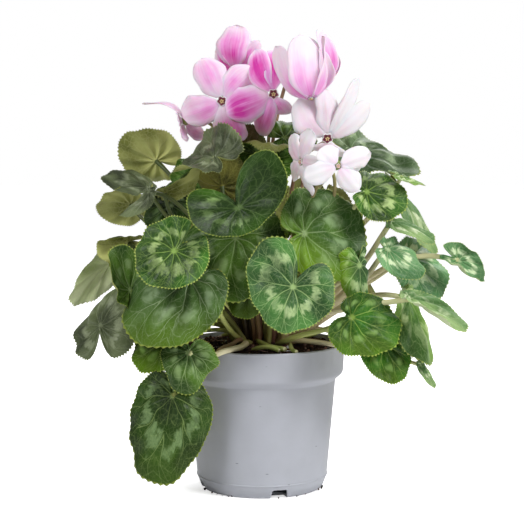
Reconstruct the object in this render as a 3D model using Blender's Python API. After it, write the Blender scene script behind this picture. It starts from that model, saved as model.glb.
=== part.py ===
"""Potted cyclamen: a plastic nursery pot, its soil and corm, leaves on stalks and flowers on stalks.

Millimetres in the tables, metres in the scene. +Z is up, the origin is the middle of the pot's foot,
and -Y is the front.
"""

import math
from dataclasses import dataclass

import bpy
import numpy as np
from mathutils import Vector
from mathutils.bvhtree import BVHTree
from mathutils.kdtree import KDTree

MM = 0.001

# Pot
POT_HEIGHT = 106.0
RIM_RADIUS = 60.0
COLLAR_HEIGHT = 25.0
COLLAR_FOOT_RADIUS = 58.9
BODY_TOP_RADIUS = 53.4
BODY_FOOT_RADIUS = 47.2
FOOT_HEIGHT = 9.0
FOOT_RADIUS = 43.0
WALL = 1.2
FLOOR = 2.0
NOTCH_COUNT = 4
NOTCH_TURN = 16.0
NOTCH_WIDTH = 12.0
NOTCH_DEPTH = 9.0
NOTCH_TOP = 6.5
NOTCH_SLANT = 1.0
POT_SIDES = 36

# Soil and corm
GAP = 0.3
SOIL_AT_WALL = 102.0
SOIL_AT_CORM = 105.0
SOIL_GAP = 0.5
CORM_RADIUS = 24.0
CORM_TOP = 106.5
CORM_DEPTH = 26.0

# Leaves
BLADE_THICKNESS = 1.0
TIP_POINT = 0.04
TIP_SPREAD = 16
SINUS_SHARE = 0.8
LEAST_REACH = 0.13
STRONG_BEND = 38
STALK_FOOT_RADIUS = 1.5
STALK_TOP_RADIUS = 1.1
FLOWER_STALK_RADIUS = 1.1
STALK_RINGS = 6
STALK_CLEARANCE = 0.6
LEAST_ROOM = 0.25
ROUTING_ROUNDS = 8
RUN_SAMPLES = 16
SEARCH = 12.0
LEAVES_ITSELF = 6.0
FLOWER_LEAVES_ITSELF = 9.0
ROUTE_TURNS = 16
ROUTE_BULGES = (0, 0.07, 0.14, 0.22, 0.32, 0.44)
ROUTE_LEADS = (0.22, 0.12, 0.34)
ROUTE_CLIMBS = (0.3, 0.14, 0.5)
FEET_INSET = 3.5
FEET_EDGE = 1.2
FULL_LEAN = 1.2
SPREAD_ROUNDS = 400
SPREAD_PUSH = 0.3
HEAD_CLEARANCE = 0.35
STEP_BACK = 1.5
STEPS_BACK = 30
STALK_SPACING = 2 * STALK_FOOT_RADIUS + 1.0
RIB_ANGLES = (180, -166, -150, -128, -100, -72, -46, -22, 0, 22, 46, 72, 100, 128, 150, 166)

# Flowers
MOUTH_RADIUS = 3.4
CALYX_RADIUS = 2.4
CALYX_LENGTH = 7.0
PETAL_THICKNESS = 0.9
PETALS = 5
PETAL_ROWS = (0.3, 0.62, 0.87)
PETAL_BASE = 0.22
PETAL_CUP = 0.12
PETAL_STEPS = 6
REFLEX_RATE = 1.6
THROAT_DEPTH = 3.2

COLOURS = {
    "pot": ((0.42, 0.45, 0.50), 0.45),
    "soil": ((0.035, 0.022, 0.015), 0.95),
    "corm": ((0.16, 0.09, 0.06), 0.85),
    "leaf": ((0.05, 0.16, 0.04), 0.45),
    "flower": ((0.85, 0.45, 0.70), 0.5),
}


@dataclass
class Leaf:
    """One leaf: where (at) its stalk meets the blade, which way the blade faces, and how it is curved.

    face is the azimuth (0 front, 90 right) and rise of the upper side's normal, and turn is the
    direction of the tip seen from that side (0 down, 90 right). Bends are in degrees, positive
    where the edge curls down: along the midrib, across it, and in the two lobes beside the stalk.
    """

    at: tuple
    face: tuple
    turn: float
    length: float
    width: float = 1.0
    set_back: float = 0.25
    sinus: float = 18.0
    along: float = 15.0
    across: float = 15.0
    lobes: float = 0.0
    wave: float = 0.03
    phase: float = 0.0


@dataclass
class Flower:
    """One flower: the middle of its mouth (at), which way the mouth looks, and how its petals stand.

    reflex is the angle from the mouth's axis at which petals leave and end, each petal is turned
    about its own axis by twist, and swept holds a change of the end angle for each petal.
    """

    at: tuple
    face: tuple
    roll: float
    length: float
    width: float = 0.62
    reflex: tuple = (80, 100)
    twist: float = 10.0
    swept: tuple = (0, 0, 0, 0, 0)


LEAVES = {
    # The front of the canopy.
    "leaf_fold_centre": Leaf(
        (-16, -72, 208), (-5, 28), 27, 21, set_back=-0.65, sinus=28, along=45, across=-20
    ),
    "leaf_heart_front": Leaf((21, -80, 155), (0, 22), -16, 30, set_back=-0.05, along=35, across=10),
    "leaf_bright_left": Leaf(
        (-59, -85, 180), (-10, 30), -58, 30, set_back=0.17, along=10, across=12, lobes=-45
    ),
    "leaf_broad_left": Leaf((-49, -68, 160), (-15, 35), -46, 55, set_back=0.32, along=18, across=22),
    "leaf_broad_right": Leaf((29, -62, 190), (15, 20), 80, 46, set_back=0.35, along=15, across=20),
    "leaf_broad_centre": Leaf((-18, -56, 186), (-5, 25), -7, 43, set_back=0.14, along=25, across=15),
    "leaf_over_rim_right": Leaf(
        (61, -78, 134), (10, 25), 55, 37, set_back=0.36, along=20, across=15, lobes=20
    ),
    "leaf_over_rim_left": Leaf(
        (-50, -72, 109), (-10, 20), -10, 29, set_back=0.3, along=30, across=20, lobes=-30
    ),
    "leaf_lowest": Leaf(
        (-62, -62, 77), (-8, 10), -9, 61, 0.84, set_back=0.34, sinus=30, along=12, across=30
    ),
    "leaf_under_left": Leaf((-68, -48, 117), (-30, 30), -40, 30, along=20),
    "leaf_under_centre": Leaf((-8, -46, 153), (-5, 15), -15, 24, along=20),
    "leaf_sliver_centre": Leaf((20, -50, 193), (20, 10), 178, 17, 0.6),
    "leaf_keel_right": Leaf((67, -62, 168), (35, 5), 0, 27, 0.8, along=20, across=75),
    # The left side.
    "leaf_cup_left": Leaf((-92, -50, 149), (30, 20), -170, 32, 0.8, along=-10, across=-55),
    "leaf_saddle_left": Leaf(
        (-114, -32, 122), (-35, 15), -170, 36, 0.9, set_back=0.15, along=60, across=15
    ),
    "leaf_far_left": Leaf((-110, -10, 163), (-150, 22), 48, 39, 0.55, along=15),
    "leaf_folded_left": Leaf((-95, -22, 180), (-160, 40), 80, 23, across=50),
    "leaf_shoulder_left": Leaf((-97, 0, 204), (175, 38), 80, 24, along=10),
    "leaf_twist_dark": Leaf((-78, -48, 218), (-45, 20), -15, 26, 0.7, along=-15, across=30),
    "leaf_twist_pale": Leaf((-69, -44, 216), (180, 50), 178, 25, along=-15, across=35),
    "leaf_level_left": Leaf((-82, -2, 218), (-20, 66), -115, 42, 0.8, along=20),
    "leaf_olive_top": Leaf((-78, 12, 236), (180, 30), 120, 30, set_back=0.2, along=-10, across=-10),
    "leaf_gap_left": Leaf((-66, 2, 205), (-10, 12), -20, 27, along=15),
    # The top, behind and below the flowers.
    "leaf_silver_top": Leaf((-33, -50, 241), (-30, 52), -112, 35, along=20, across=-15),
    "leaf_funnel_top": Leaf((-28, -36, 221), (180, 35), 175, 27, along=-20, across=-20),
    "leaf_dark_top": Leaf((-48, -4, 226), (-10, 45), 175, 27, along=20),
    "leaf_upright_top": Leaf((-9, -10, 238), (172, 8), 178, 25, 0.6, along=-10, across=20),
    "leaf_curled_top": Leaf((6, -26, 240), (180, 30), 178, 19, 1.1, along=-35),
    "leaf_small_top": Leaf((16, -18, 254), (20, 40), 100, 24, 0.8, along=20),
    # The right side.
    "leaf_shield_right": Leaf((64, -28, 245), (25, 62), 66, 47, 0.85, along=20, across=20),
    "leaf_bright_right": Leaf(
        (72, -55, 218), (20, 30), 80, 31, set_back=0.32, along=15, across=15, lobes=-15
    ),
    "leaf_tip_right": Leaf((97, -42, 228), (60, 70), 60, 20, 0.7, along=10),
    "leaf_slanted_right": Leaf((101, -25, 214), (68, 35), 5, 49, 0.55, along=12, across=15),
    "leaf_speckled_right": Leaf((90, -45, 197), (30, 50), 45, 33, 0.65, along=20),
    "leaf_silver_right": Leaf((87, -60, 178), (20, 35), 55, 29, along=18, across=15),
    "leaf_behind_right": Leaf((107, -36, 167), (35, 35), 35, 33, along=18),
    "leaf_far_right": Leaf((140, -20, 167), (30, 25), 60, 23, set_back=0.1, along=15, across=-35),
    "leaf_curled_right": Leaf((101, -76, 147), (40, 62), 32, 42, 0.5, along=15, across=-40),
    "leaf_hanging_right": Leaf((102, -62, 143), (58, 20), 18, 49, 0.65, along=15, across=35),
    "leaf_low_right": Leaf((85, -55, 112), (20, 25), 15, 29, along=20),
    "leaf_tail_right": Leaf((111, -48, 96), (35, 20), 35, 18, 0.6, along=10),
}

# The back of the canopy: leaves in a low and a high tier, and how they stand.
REAR_LEAVES = 7
REAR_AZIMUTHS = (100, 260)
REAR_RADII = (78, 68)
REAR_HEIGHTS = (150, 205)
REAR_LENGTHS = (42, 48)
REAR_RISES = (30, 38)
REAR_SWAY = 25
REAR_SWAY_RATE = 2.4
REAR_PHASE_STEP = 70

FLOWERS = {
    "flower_centre": Flower(
        (8, -60, 285), (0, -20), -4, 35, 0.76, reflex=(80, 108), swept=(10, 55, 55, 14, -10)
    ),
    "flower_left": Flower(
        (-28, -40, 280), (-10, -15), 12, 31, 0.76, reflex=(80, 105), swept=(0, 30, 0, 0, 0)
    ),
    "flower_far_left": Flower((-56, -38, 266), (-110, -10), 20, 29, 0.45, reflex=(75, 105)),
    "flower_top_left": Flower((-18, -12, 302), (-30, -50), 30, 32, 0.7, reflex=(95, 160), twist=22),
    "flower_pale_centre": Flower((33, -64, 282), (25, -66), 36, 42, 0.6, reflex=(100, 172), twist=22),
    "flower_top_right": Flower((45, -26, 292), (30, -60), 10, 38, 0.66, reflex=(95, 165), twist=22),
    "flower_white_right": Flower((45, -58, 252), (5, -42), 0, 34, 0.7, reflex=(90, 142), twist=15),
    "flower_white_small": Flower((51, -84, 237), (10, -8), 14, 23, 0.76, reflex=(80, 98)),
    "flower_white_side": Flower((26, -72, 239), (-60, -5), 10, 20, 0.7, reflex=(80, 110)),
}


def direction(azimuth, rise):
    """Unit vector that looks to an azimuth and rise, in degrees."""
    a, e = math.radians(azimuth), math.radians(rise)
    return Vector((math.sin(a) * math.cos(e), -math.cos(a) * math.cos(e), math.sin(e)))


def facing_frame(face, turn):
    """Tip, side and normal vectors of a blade that faces one way, its tip turned from straight down."""
    normal = direction(*face)
    down = (normal * normal.z - Vector((0, 0, 1))).normalized()
    right = normal.cross(down)
    t = math.radians(turn)
    tip = down * math.cos(t) + right * math.sin(t)
    return tip, normal.cross(tip), normal


def new_object(name, points, faces, kind):
    """A smooth-shaded closed mesh object from points in millimetres."""
    mesh = bpy.data.meshes.new(name)
    mesh.from_pydata([Vector(p) * MM for p in points], [], faces)
    mesh.validate()
    obj = bpy.data.objects.new(name, mesh)
    bpy.context.scene.collection.objects.link(obj)
    mesh.shade_smooth()
    mesh.set_sharp_from_angle(angle=math.radians(40))
    mesh.materials.append(material(kind))
    return obj


def material(kind):
    found = bpy.data.materials.get(kind)
    if found:
        return found
    colour, roughness = COLOURS[kind]
    made = bpy.data.materials.new(kind)
    made.use_nodes = True
    shader = made.node_tree.nodes["Principled BSDF"]
    shader.inputs["Base Color"].default_value = (*colour, 1)
    shader.inputs["Roughness"].default_value = roughness
    shader.inputs["Metallic"].default_value = 0
    return made


def rear_leaves():
    """The leaves on the side away from the front: two staggered tiers that face outwards."""
    first, last = REAR_AZIMUTHS
    found = {}
    for i in range(REAR_LEAVES):
        azimuth = first + (last - first) * (i + 0.5) / REAR_LEAVES
        tier = i % 2
        out = direction(azimuth, 0) * REAR_RADII[tier]
        hub = (out.x, out.y, REAR_HEIGHTS[tier])
        face = (azimuth, REAR_RISES[tier])
        sway = REAR_SWAY * math.sin(REAR_SWAY_RATE * i)
        leaf = Leaf(hub, face, sway, REAR_LENGTHS[tier], along=22, across=18, phase=REAR_PHASE_STEP * i)
        found[f"leaf_rear_{i + 1}"] = leaf
    return found


# Turned pieces


def turned(profile, sides):
    """Points and faces of a closed (radius, height) outline turned about Z; a zero radius is a pole."""
    points, rows, faces = [], [], []
    for radius, height in profile:
        if radius == 0:
            rows.append([len(points)] * sides)
            points.append((0, 0, height))
            continue
        rows.append([len(points) + i for i in range(sides)])
        for i in range(sides):
            a = 2 * math.pi * i / sides
            points.append((radius * math.cos(a), radius * math.sin(a), height))
    for low, high in zip(rows, rows[1:] + rows[:1], strict=True):
        if low[0] == low[1] and high[0] == high[1]:
            continue
        for i in range(sides):
            j = (i + 1) % sides
            corners = [low[i], low[j], high[j], high[i]]
            faces.append(list(dict.fromkeys(corners)))
    return points, faces


def pot_inner_radius(z):
    """Inner radius of the pot's wall at a height."""
    collar = POT_HEIGHT - COLLAR_HEIGHT
    if z >= collar:
        share = (z - collar) / COLLAR_HEIGHT
        return COLLAR_FOOT_RADIUS + (RIM_RADIUS - COLLAR_FOOT_RADIUS) * share - WALL
    share = max(0.0, (z - FOOT_HEIGHT) / (collar - 2 - FOOT_HEIGHT))
    return BODY_FOOT_RADIUS + (BODY_TOP_RADIUS - BODY_FOOT_RADIUS) * min(1.0, share) - WALL


def make_pot():
    collar = POT_HEIGHT - COLLAR_HEIGHT
    outer = [
        (0, 0),
        (FOOT_RADIUS, 0),
        (FOOT_RADIUS + 1.6, 1.4),
        (BODY_FOOT_RADIUS - 0.5, FOOT_HEIGHT - 2),
        (BODY_FOOT_RADIUS, FOOT_HEIGHT),
        (BODY_TOP_RADIUS, collar - 2),
        (COLLAR_FOOT_RADIUS - 2, collar - 0.5),
        (COLLAR_FOOT_RADIUS - 0.3, collar + 2.5),
        (RIM_RADIUS - 0.3, POT_HEIGHT - 1.2),
        (RIM_RADIUS, POT_HEIGHT - 0.5),
        (RIM_RADIUS - 0.4, POT_HEIGHT),
    ]
    inner = [
        (RIM_RADIUS - WALL, POT_HEIGHT),
        (COLLAR_FOOT_RADIUS - WALL, collar + 3),
        (COLLAR_FOOT_RADIUS - 2 - WALL, collar + 1),
        (BODY_TOP_RADIUS - WALL, collar - 1),
        (BODY_FOOT_RADIUS - WALL, FOOT_HEIGHT),
        (FOOT_RADIUS, FLOOR),
        (0, FLOOR),
    ]
    pot = new_object("pot", *turned(outer + inner, POT_SIDES), "pot")
    cut = pot.modifiers.new("notches", "BOOLEAN")
    cut.operation = "DIFFERENCE"
    cut.object = notch_cutter()
    return pot


def notch_cutter():
    """Wedge-topped blocks that open the drain notches through the foot ring and the floor's edge."""
    low, high = -NOTCH_TOP, NOTCH_TOP
    foot, top = NOTCH_WIDTH / 2 + NOTCH_SLANT, NOTCH_WIDTH / 2 - NOTCH_SLANT
    points, faces = [], []
    for notch in range(NOTCH_COUNT):
        out = direction(NOTCH_TURN + 360 * notch / NOTCH_COUNT, 0)
        side = Vector((-out.y, out.x, 0))
        first = len(points)
        for reach in (FOOT_RADIUS - NOTCH_DEPTH, BODY_FOOT_RADIUS + 4):
            for across, z in ((-foot, low), (foot, low), (top, high), (-top, high)):
                points.append(out * reach + side * across + Vector((0, 0, z)))
        block = [(3, 2, 1, 0), (4, 5, 6, 7), (1, 5, 4, 0), (2, 6, 5, 1), (3, 7, 6, 2), (0, 4, 7, 3)]
        faces += [tuple(first + corner for corner in face) for face in block]
    mesh = bpy.data.meshes.new("notch_cutter")
    mesh.from_pydata([p * MM for p in points], [], faces)
    cutter = bpy.data.objects.new("notch_cutter", mesh)
    bpy.context.scene.collection.objects.link(cutter)
    cutter.hide_render = True
    cutter.display_type = "WIRE"
    return cutter


def make_soil():
    """Soil that fills the pot, heaped a little towards the corm, with a pocket for the corm."""
    pocket = CORM_RADIUS + GAP
    low, collar = FLOOR + GAP, POT_HEIGHT - COLLAR_HEIGHT
    profile = [(0, low), (FOOT_RADIUS - 0.8, low)]
    profile += [(pot_inner_radius(z) - SOIL_GAP, z) for z in (FOOT_HEIGHT, collar - 3)]
    profile += [(BODY_TOP_RADIUS - 1.8, collar - 0.5), (COLLAR_FOOT_RADIUS - 3.9, collar + 2)]
    profile += [(pot_inner_radius(z) - SOIL_GAP, z) for z in (collar + 5, SOIL_AT_WALL)]
    profile += [(pocket + 8, SOIL_AT_CORM - 0.5), (pocket, SOIL_AT_CORM)]
    profile += [(pocket, CORM_TOP - CORM_DEPTH + 6), (pocket - 8, CORM_TOP - CORM_DEPTH - GAP)]
    profile += [(0, CORM_TOP - CORM_DEPTH - GAP)]
    return new_object("soil", *turned(profile, POT_SIDES), "soil")


def make_corm():
    """The squat storage stem, half buried, with a flat crown that the stalks grow from."""
    low = CORM_TOP - CORM_DEPTH
    profile = [(0, low), (CORM_RADIUS - 9, low), (CORM_RADIUS - 1, low + 7)]
    profile += [(CORM_RADIUS, CORM_TOP - 4), (CORM_RADIUS - 1, CORM_TOP), (0, CORM_TOP)]
    return new_object("corm", *turned(profile, POT_SIDES), "corm")


# Leaf blades


def outline_radius(leaf, angle):
    """Distance from the hub to the margin at an angle from the tip: a circle set forward of the hub,
    drawn out to a blunt point at the tip and notched behind the hub."""
    a = math.radians(angle)
    centre = leaf.set_back
    radius = 1 - centre
    reach = centre * math.cos(a) + math.sqrt(radius**2 - (centre * math.sin(a)) ** 2)
    reach += TIP_POINT * math.exp(-((angle / TIP_SPREAD) ** 2))
    behind = 180 - abs(angle)
    notch = 1 - SINUS_SHARE * math.exp(-((behind / leaf.sinus) ** 2))
    return leaf.length * max(reach * notch, LEAST_REACH)


def bent(distance, offset, curvature):
    """A point at a distance along an arc and an offset off it, as (run, height)."""
    if abs(curvature) < 1e-6:
        return distance, offset
    turn = distance * curvature
    run = math.sin(turn) / curvature + offset * math.sin(turn)
    return run, (math.cos(turn) - 1) / curvature + offset * math.cos(turn)


def blade_point(leaf, x, y):
    """Place of a point of the flat blade once it is curved, as (towards the tip, to the side, up)."""
    reach = math.hypot(x, y) / leaf.length
    angle = math.atan2(y, x)
    lift = leaf.wave * leaf.length * reach**2 * math.cos(3 * angle + math.radians(leaf.phase))
    half_width = leaf.length * (1 - leaf.set_back) * leaf.width
    side, height = bent(y * leaf.width, lift, math.radians(leaf.across) / half_width)
    bend = leaf.along if x > 0 else leaf.lobes
    run, height = bent(x, height, math.copysign(math.radians(bend), bend) / leaf.length)
    return Vector((run, side, height))


def blade_rings(leaf, hub):
    """Rings of (upper, lower) points from the hub to the margin."""
    tip, side, normal = facing_frame(leaf.face, leaf.turn)

    def place(x, y, lift):
        step = 0.5
        here = blade_point(leaf, x, y)
        ahead, beside = blade_point(leaf, x + step, y) - here, blade_point(leaf, x, y + step) - here
        here = here + ahead.cross(beside).normalized() * lift
        return hub + tip * here.x + side * here.y + normal * here.z

    def ring(angles, share):
        found = []
        for angle in angles:
            reach = outline_radius(leaf, angle) * share if share else STALK_TOP_RADIUS
            a = math.radians(angle)
            x, y = reach * math.cos(a), reach * math.sin(a)
            half = BLADE_THICKNESS / 2
            found.append((place(x, y, half), place(x, y, -half)))
        return found

    bend = max(abs(leaf.along), abs(leaf.across), abs(leaf.lobes))
    shares = [(2, 0.42), (2, 0.74)] if bend > STRONG_BEND else [(2, 0.55)]
    rings = [ring(RIB_ANGLES[::4], 0)]
    rings += [ring(RIB_ANGLES[::every], share) for every, share in shares]
    rings += [ring(RIB_ANGLES, 1)]
    return rings


def blade(leaf, hub):
    return closed_sheet(blade_rings(leaf, hub))


def band(low, high):
    """Triangles between two closed rings of point numbers, the second with as many points or twice that."""
    n, faces = len(low), []
    for i in range(n):
        j = (i + 1) % n
        if len(high) == n:
            faces += [(low[i], high[i], high[j]), (low[i], high[j], low[j])]
        else:
            a, b, c = high[2 * i], high[2 * i + 1], high[(2 * i + 2) % len(high)]
            faces += [(low[i], a, b), (low[i], b, low[j]), (low[j], b, c)]
    return faces


def flipped(faces):
    return [tuple(reversed(face)) for face in faces]


def tube_rings(route, sides_at, radii, first_axis):
    """Rings of points along a route, carried without twist from its first point."""
    rings, axis = [], first_axis
    for k, point in enumerate(route):
        before, after = route[max(k - 1, 0)], route[min(k + 1, len(route) - 1)]
        along = (after - before).normalized()
        if k == len(route) - 1:
            along = Vector((0, 0, -1))
        axis = (axis - along * axis.dot(along)).normalized()
        other = axis.cross(along)
        turns = [math.radians(a) for a in sides_at]
        rings.append([point + (axis * math.cos(t) + other * math.sin(t)) * radii[k] for t in turns])
    return rings


def closed_sheet(rings):
    """Points and faces of a blade's sides and margin, with its lower middle left open, and that opening."""
    points, upper, lower = [], [], []
    for ring in rings:
        upper.append(range(len(points), len(points) + len(ring)))
        points += [pair[0] for pair in ring]
        lower.append(range(len(points), len(points) + len(ring)))
        points += [pair[1] for pair in ring]
    faces = [tuple(upper[0])]
    for inner, outer in zip(upper, upper[1:], strict=False):
        faces += band(inner, outer)
    faces += band(upper[-1], lower[-1])
    for inner, outer in zip(lower, lower[1:], strict=False):
        faces += flipped(band(inner, outer))
    return points, faces, list(lower[0])


def with_stalk(points, faces, opening, rings):
    """The sheet's lower opening carried on as a tube through the rings and capped."""
    points, faces = list(points), list(faces)
    previous = opening
    for ring in rings:
        current = list(range(len(points), len(points) + len(ring)))
        points += ring
        faces += flipped(band(current, previous))
        previous = current
    faces.append(tuple(reversed(previous)))
    return points, faces


# Flowers


def petal_half_width(flower, share):
    """Half the petal's width at a share of its length: narrow at the mouth, broad past the middle."""
    spread = math.sin(math.pi * min(share, 0.999) ** 1.1)
    return flower.length * flower.width / 2 * (PETAL_BASE * (1 - share) + spread)


def petal_point(flower, number, share, across):
    """Place of a petal's point as (share of its length, -1 to 1 across), in the mouth's own frame."""
    turn = math.radians(360 * number / PETALS + flower.roll)
    start, end = flower.reflex[0], flower.reflex[1] + flower.swept[number]
    out, forward = MOUTH_RADIUS, 0.0
    run = share * flower.length / PETAL_STEPS
    for k in range(PETAL_STEPS):
        a = math.radians(start + (end - start) * min(1, (k + 0.5) / PETAL_STEPS * share * REFLEX_RATE))
        out += math.sin(a) * run
        forward += math.cos(a) * run
    a = math.radians(start + (end - start) * min(1, share * REFLEX_RATE))
    twist = math.radians(flower.twist) * share
    half = petal_half_width(flower, share)
    cup = -PETAL_CUP * half * across**2
    sideways = across * half * math.cos(twist)
    lifted = across * half * math.sin(twist) + cup
    out += -math.cos(a) * lifted
    forward += math.sin(a) * lifted
    x = out * math.cos(turn) - sideways * math.sin(turn)
    y = out * math.sin(turn) + sideways * math.cos(turn)
    return Vector((x, y, forward))


def calyx_angle(flower, number):
    return 360 * number / PETALS + flower.roll - 180 / PETALS


def mouth_ring(flower):
    """Ten points round the mouth, alternately between two petals and under one."""
    ring = []
    for number in range(PETALS):
        for across in (-1, 0):
            turn = math.radians(360 * number / PETALS + flower.roll + across * 180 / PETALS)
            radius = MOUTH_RADIUS / (math.cos(math.pi / PETALS) if across else 1)
            ring.append((Vector((radius * math.cos(turn), radius * math.sin(turn), 0)), Vector((0, 0, 1))))
    return ring


def petal_pair(flower, number, share, across):
    """A point of the petal's upper side and the petal's normal there."""
    here = petal_point(flower, number, share, across)
    ahead = here - petal_point(flower, number, share - 0.02, across)
    beside = petal_point(flower, number, share, across + 0.1) - here
    return here, ahead.cross(beside).normalized()


def corolla(flower, mouth):
    """Points and faces of five petals joined at the mouth, with the calyx left open, and that opening."""
    sheet, faces, edge = mouth_ring(flower), [], []
    ring = range(len(sheet))
    for number in range(PETALS):
        rows = [[ring[2 * number], ring[2 * number + 1], ring[(2 * number + 2) % len(ring)]]]
        for share in PETAL_ROWS:
            rows.append([len(sheet) + k for k in range(3)])
            sheet += [petal_pair(flower, number, share, across) for across in (-1, 0, 1)]
        tip_number = len(sheet)
        sheet.append(petal_pair(flower, number, 1.0, 0))
        for low, high in zip(rows, rows[1:], strict=False):
            for k in (0, 1):
                faces += [(low[k], high[k], high[k + 1]), (low[k], high[k + 1], low[k + 1])]
        faces += [(rows[-1][0], tip_number, rows[-1][1]), (rows[-1][1], tip_number, rows[-1][2])]
        edge += [row[0] for row in rows] + [tip_number] + [row[2] for row in rows[:0:-1]]
    count = len(sheet)
    local = [point for point, _ in sheet] + [point - normal * PETAL_THICKNESS for point, normal in sheet]
    local.append(Vector((0, 0, -THROAT_DEPTH)))
    for number in range(PETALS):
        turn = math.radians(calyx_angle(flower, number))
        local.append(Vector((CALYX_RADIUS * math.cos(turn), CALYX_RADIUS * math.sin(turn), -CALYX_LENGTH)))
    throat, calyx = 2 * count, list(range(2 * count + 1, len(local)))
    faces += [tuple(i + count for i in reversed(face)) for face in faces]
    faces += [(throat, ring[i], ring[(i + 1) % len(ring)]) for i in ring]
    for a, b in zip(edge, edge[1:] + edge[:1], strict=True):
        if a != b:
            faces += [(a, a + count, b + count), (a, b + count, b)]
    faces += flipped(band(calyx, [i + count for i in ring]))
    tip, side, normal = facing_frame(flower.face, 0)
    return [mouth + tip * p.x + side * p.y + normal * p.z for p in local], faces, calyx


# Stalks


def bezier(a, b, c, d, t):
    s = 1 - t
    return a * s**3 + b * (3 * s * s * t) + c * (3 * s * t * t) + d * t**3


def candidate_routes(foot, start, arrival):
    """Routes from head to foot, the straightest first: they leave the crown upwards, reach the head
    from behind, and bulge to one side or another."""
    reach = (start - foot).length
    chord = (start - foot).normalized()
    side = chord.cross(Vector((0, 0, 1))).normalized()
    rise = side.cross(chord)
    for bulge in ROUTE_BULGES:
        for step in range(ROUTE_TURNS if bulge else 1):
            a = 2 * math.pi * step / ROUTE_TURNS
            push = (rise * math.cos(a) + side * math.sin(a)) * bulge * reach
            for lead in ROUTE_LEADS:
                for climb in ROUTE_CLIMBS:
                    leave = foot + Vector((0, 0, 1)) * reach * climb + push
                    near = start - arrival * reach * lead + push * 0.7
                    yield [bezier(start, near, leave, foot, k / STALK_RINGS) for k in range(STALK_RINGS + 1)]


def sampled(route):
    """Points spaced along a route's straight runs, its foot left out."""
    runs = zip(route, route[1:], strict=False)
    return [a.lerp(b, t / RUN_SAMPLES) for a, b in runs for t in range(RUN_SAMPLES)]


def clearance(route, radius, others, own, stalks, own_room):
    """Least room round a route: to other heads, to its own once it has left it, and to earlier stalks."""
    least = 1e9
    points = sampled(route)
    for k, point in enumerate(points[1:], 1):
        here = radius + (STALK_FOOT_RADIUS - radius) * k / len(points)
        found = others.find_nearest(point, SEARCH)
        if found[0] is not None:
            least = min(least, found[3] - here)
        if (point - route[0]).length > own_room:
            found = own.find_nearest(point, SEARCH)
            if found[0] is not None:
                least = min(least, found[3] - here)
        if stalks is not None:
            gap = stalks.find(point)[2]
            least = min(least, gap - here - STALK_FOOT_RADIUS)
        if least < -1:
            break
    return least


def crown_feet(heads):
    """Where each stalk leaves the crown: out towards its head, then spread until none are too close."""
    feet = []
    for head in heads.values():
        flat = np.array([head.x, head.y])
        away = np.hypot(*flat)
        lean = math.atan2(away, max(head.z - CORM_TOP, 5))
        feet.append(flat / away * (CORM_RADIUS - FEET_INSET) * min(1.0, lean / FULL_LEAN))
    feet = np.array(feet)
    limit = CORM_RADIUS - STALK_FOOT_RADIUS - FEET_EDGE
    for _ in range(SPREAD_ROUNDS):
        apart = feet[:, None] - feet[None]
        distance = np.hypot(apart[..., 0], apart[..., 1])
        np.fill_diagonal(distance, 1e9)
        close = np.clip(STALK_SPACING - distance, 0, None)
        feet += SPREAD_PUSH * (apart / distance[..., None] * close[..., None]).sum(1)
        reach = np.hypot(feet[:, 0], feet[:, 1])
        feet *= np.minimum(1, limit / np.maximum(reach, 1e-6))[:, None]
    return {name: Vector((x, y, CORM_TOP + GAP)) for name, (x, y) in zip(heads, feet.tolist(), strict=True)}


# Putting the plant together


def pot_guard():
    """The pot's outside and rim and the soil's top as one closed skin that the plant stays clear of."""
    profile = [(0, 0), (BODY_FOOT_RADIUS, 0), (BODY_TOP_RADIUS, POT_HEIGHT - COLLAR_HEIGHT)]
    profile += [(RIM_RADIUS, POT_HEIGHT - COLLAR_HEIGHT), (RIM_RADIUS, POT_HEIGHT)]
    profile += [(RIM_RADIUS - WALL, POT_HEIGHT), (CORM_RADIUS, SOIL_AT_CORM), (0, SOIL_AT_CORM - 4)]
    return turned(profile, POT_SIDES)


def tree_of(meshes):
    """One search tree over several (points, faces)."""
    points, faces = [], []
    for more_points, more_faces in meshes:
        faces += [tuple(i + len(points) for i in face) for face in more_faces]
        points += more_points
    return BVHTree.FromPolygons([Vector(p) for p in points], faces)


def least_gap(points, tree):
    """Least distance from any of the points to the tree's faces, up to 1 mm."""
    found = [tree.find_nearest(point, 1.0)[3] for point in points]
    return min([gap for gap in found if gap is not None], default=1.0)


@dataclass
class Head:
    """A blade or corolla in its place, with the opening and direction its stalk starts from."""

    points: list
    faces: list
    opening: list
    start: Vector
    arrival: Vector
    axis: Vector
    turns: tuple
    radius: float
    own_room: float


def leaf_head(leaf, hub):
    tip, _, normal = facing_frame(leaf.face, leaf.turn)
    start, arrival = hub - normal * BLADE_THICKNESS / 2, (normal * 0.85 + tip * 0.35).normalized()
    return Head(*blade(leaf, hub), start, arrival, tip, RIB_ANGLES[::4], STALK_TOP_RADIUS, LEAVES_ITSELF)


def flower_head(flower, mouth):
    tip, _, normal = facing_frame(flower.face, 0)
    turns = tuple(calyx_angle(flower, number) for number in range(PETALS))
    start = mouth - normal * CALYX_LENGTH
    sheet = corolla(flower, mouth)
    return Head(*sheet, start, normal, tip, turns, FLOWER_STALK_RADIUS, FLOWER_LEAVES_ITSELF)


def settled(make, design, placed):
    """A head at its place, or as few steps back from it as clear the heads already placed."""
    for k in range(STEPS_BACK):
        head = make(design, Vector(design.at) + Vector((0, STEP_BACK * k, 0)))
        tree = tree_of([(head.points, head.faces)])
        if not any(tree.overlap(other) for other in placed):
            if all(least_gap(head.points, other) > HEAD_CLEARANCE for other in placed):
                break
    placed.append(tree)
    return head


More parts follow.
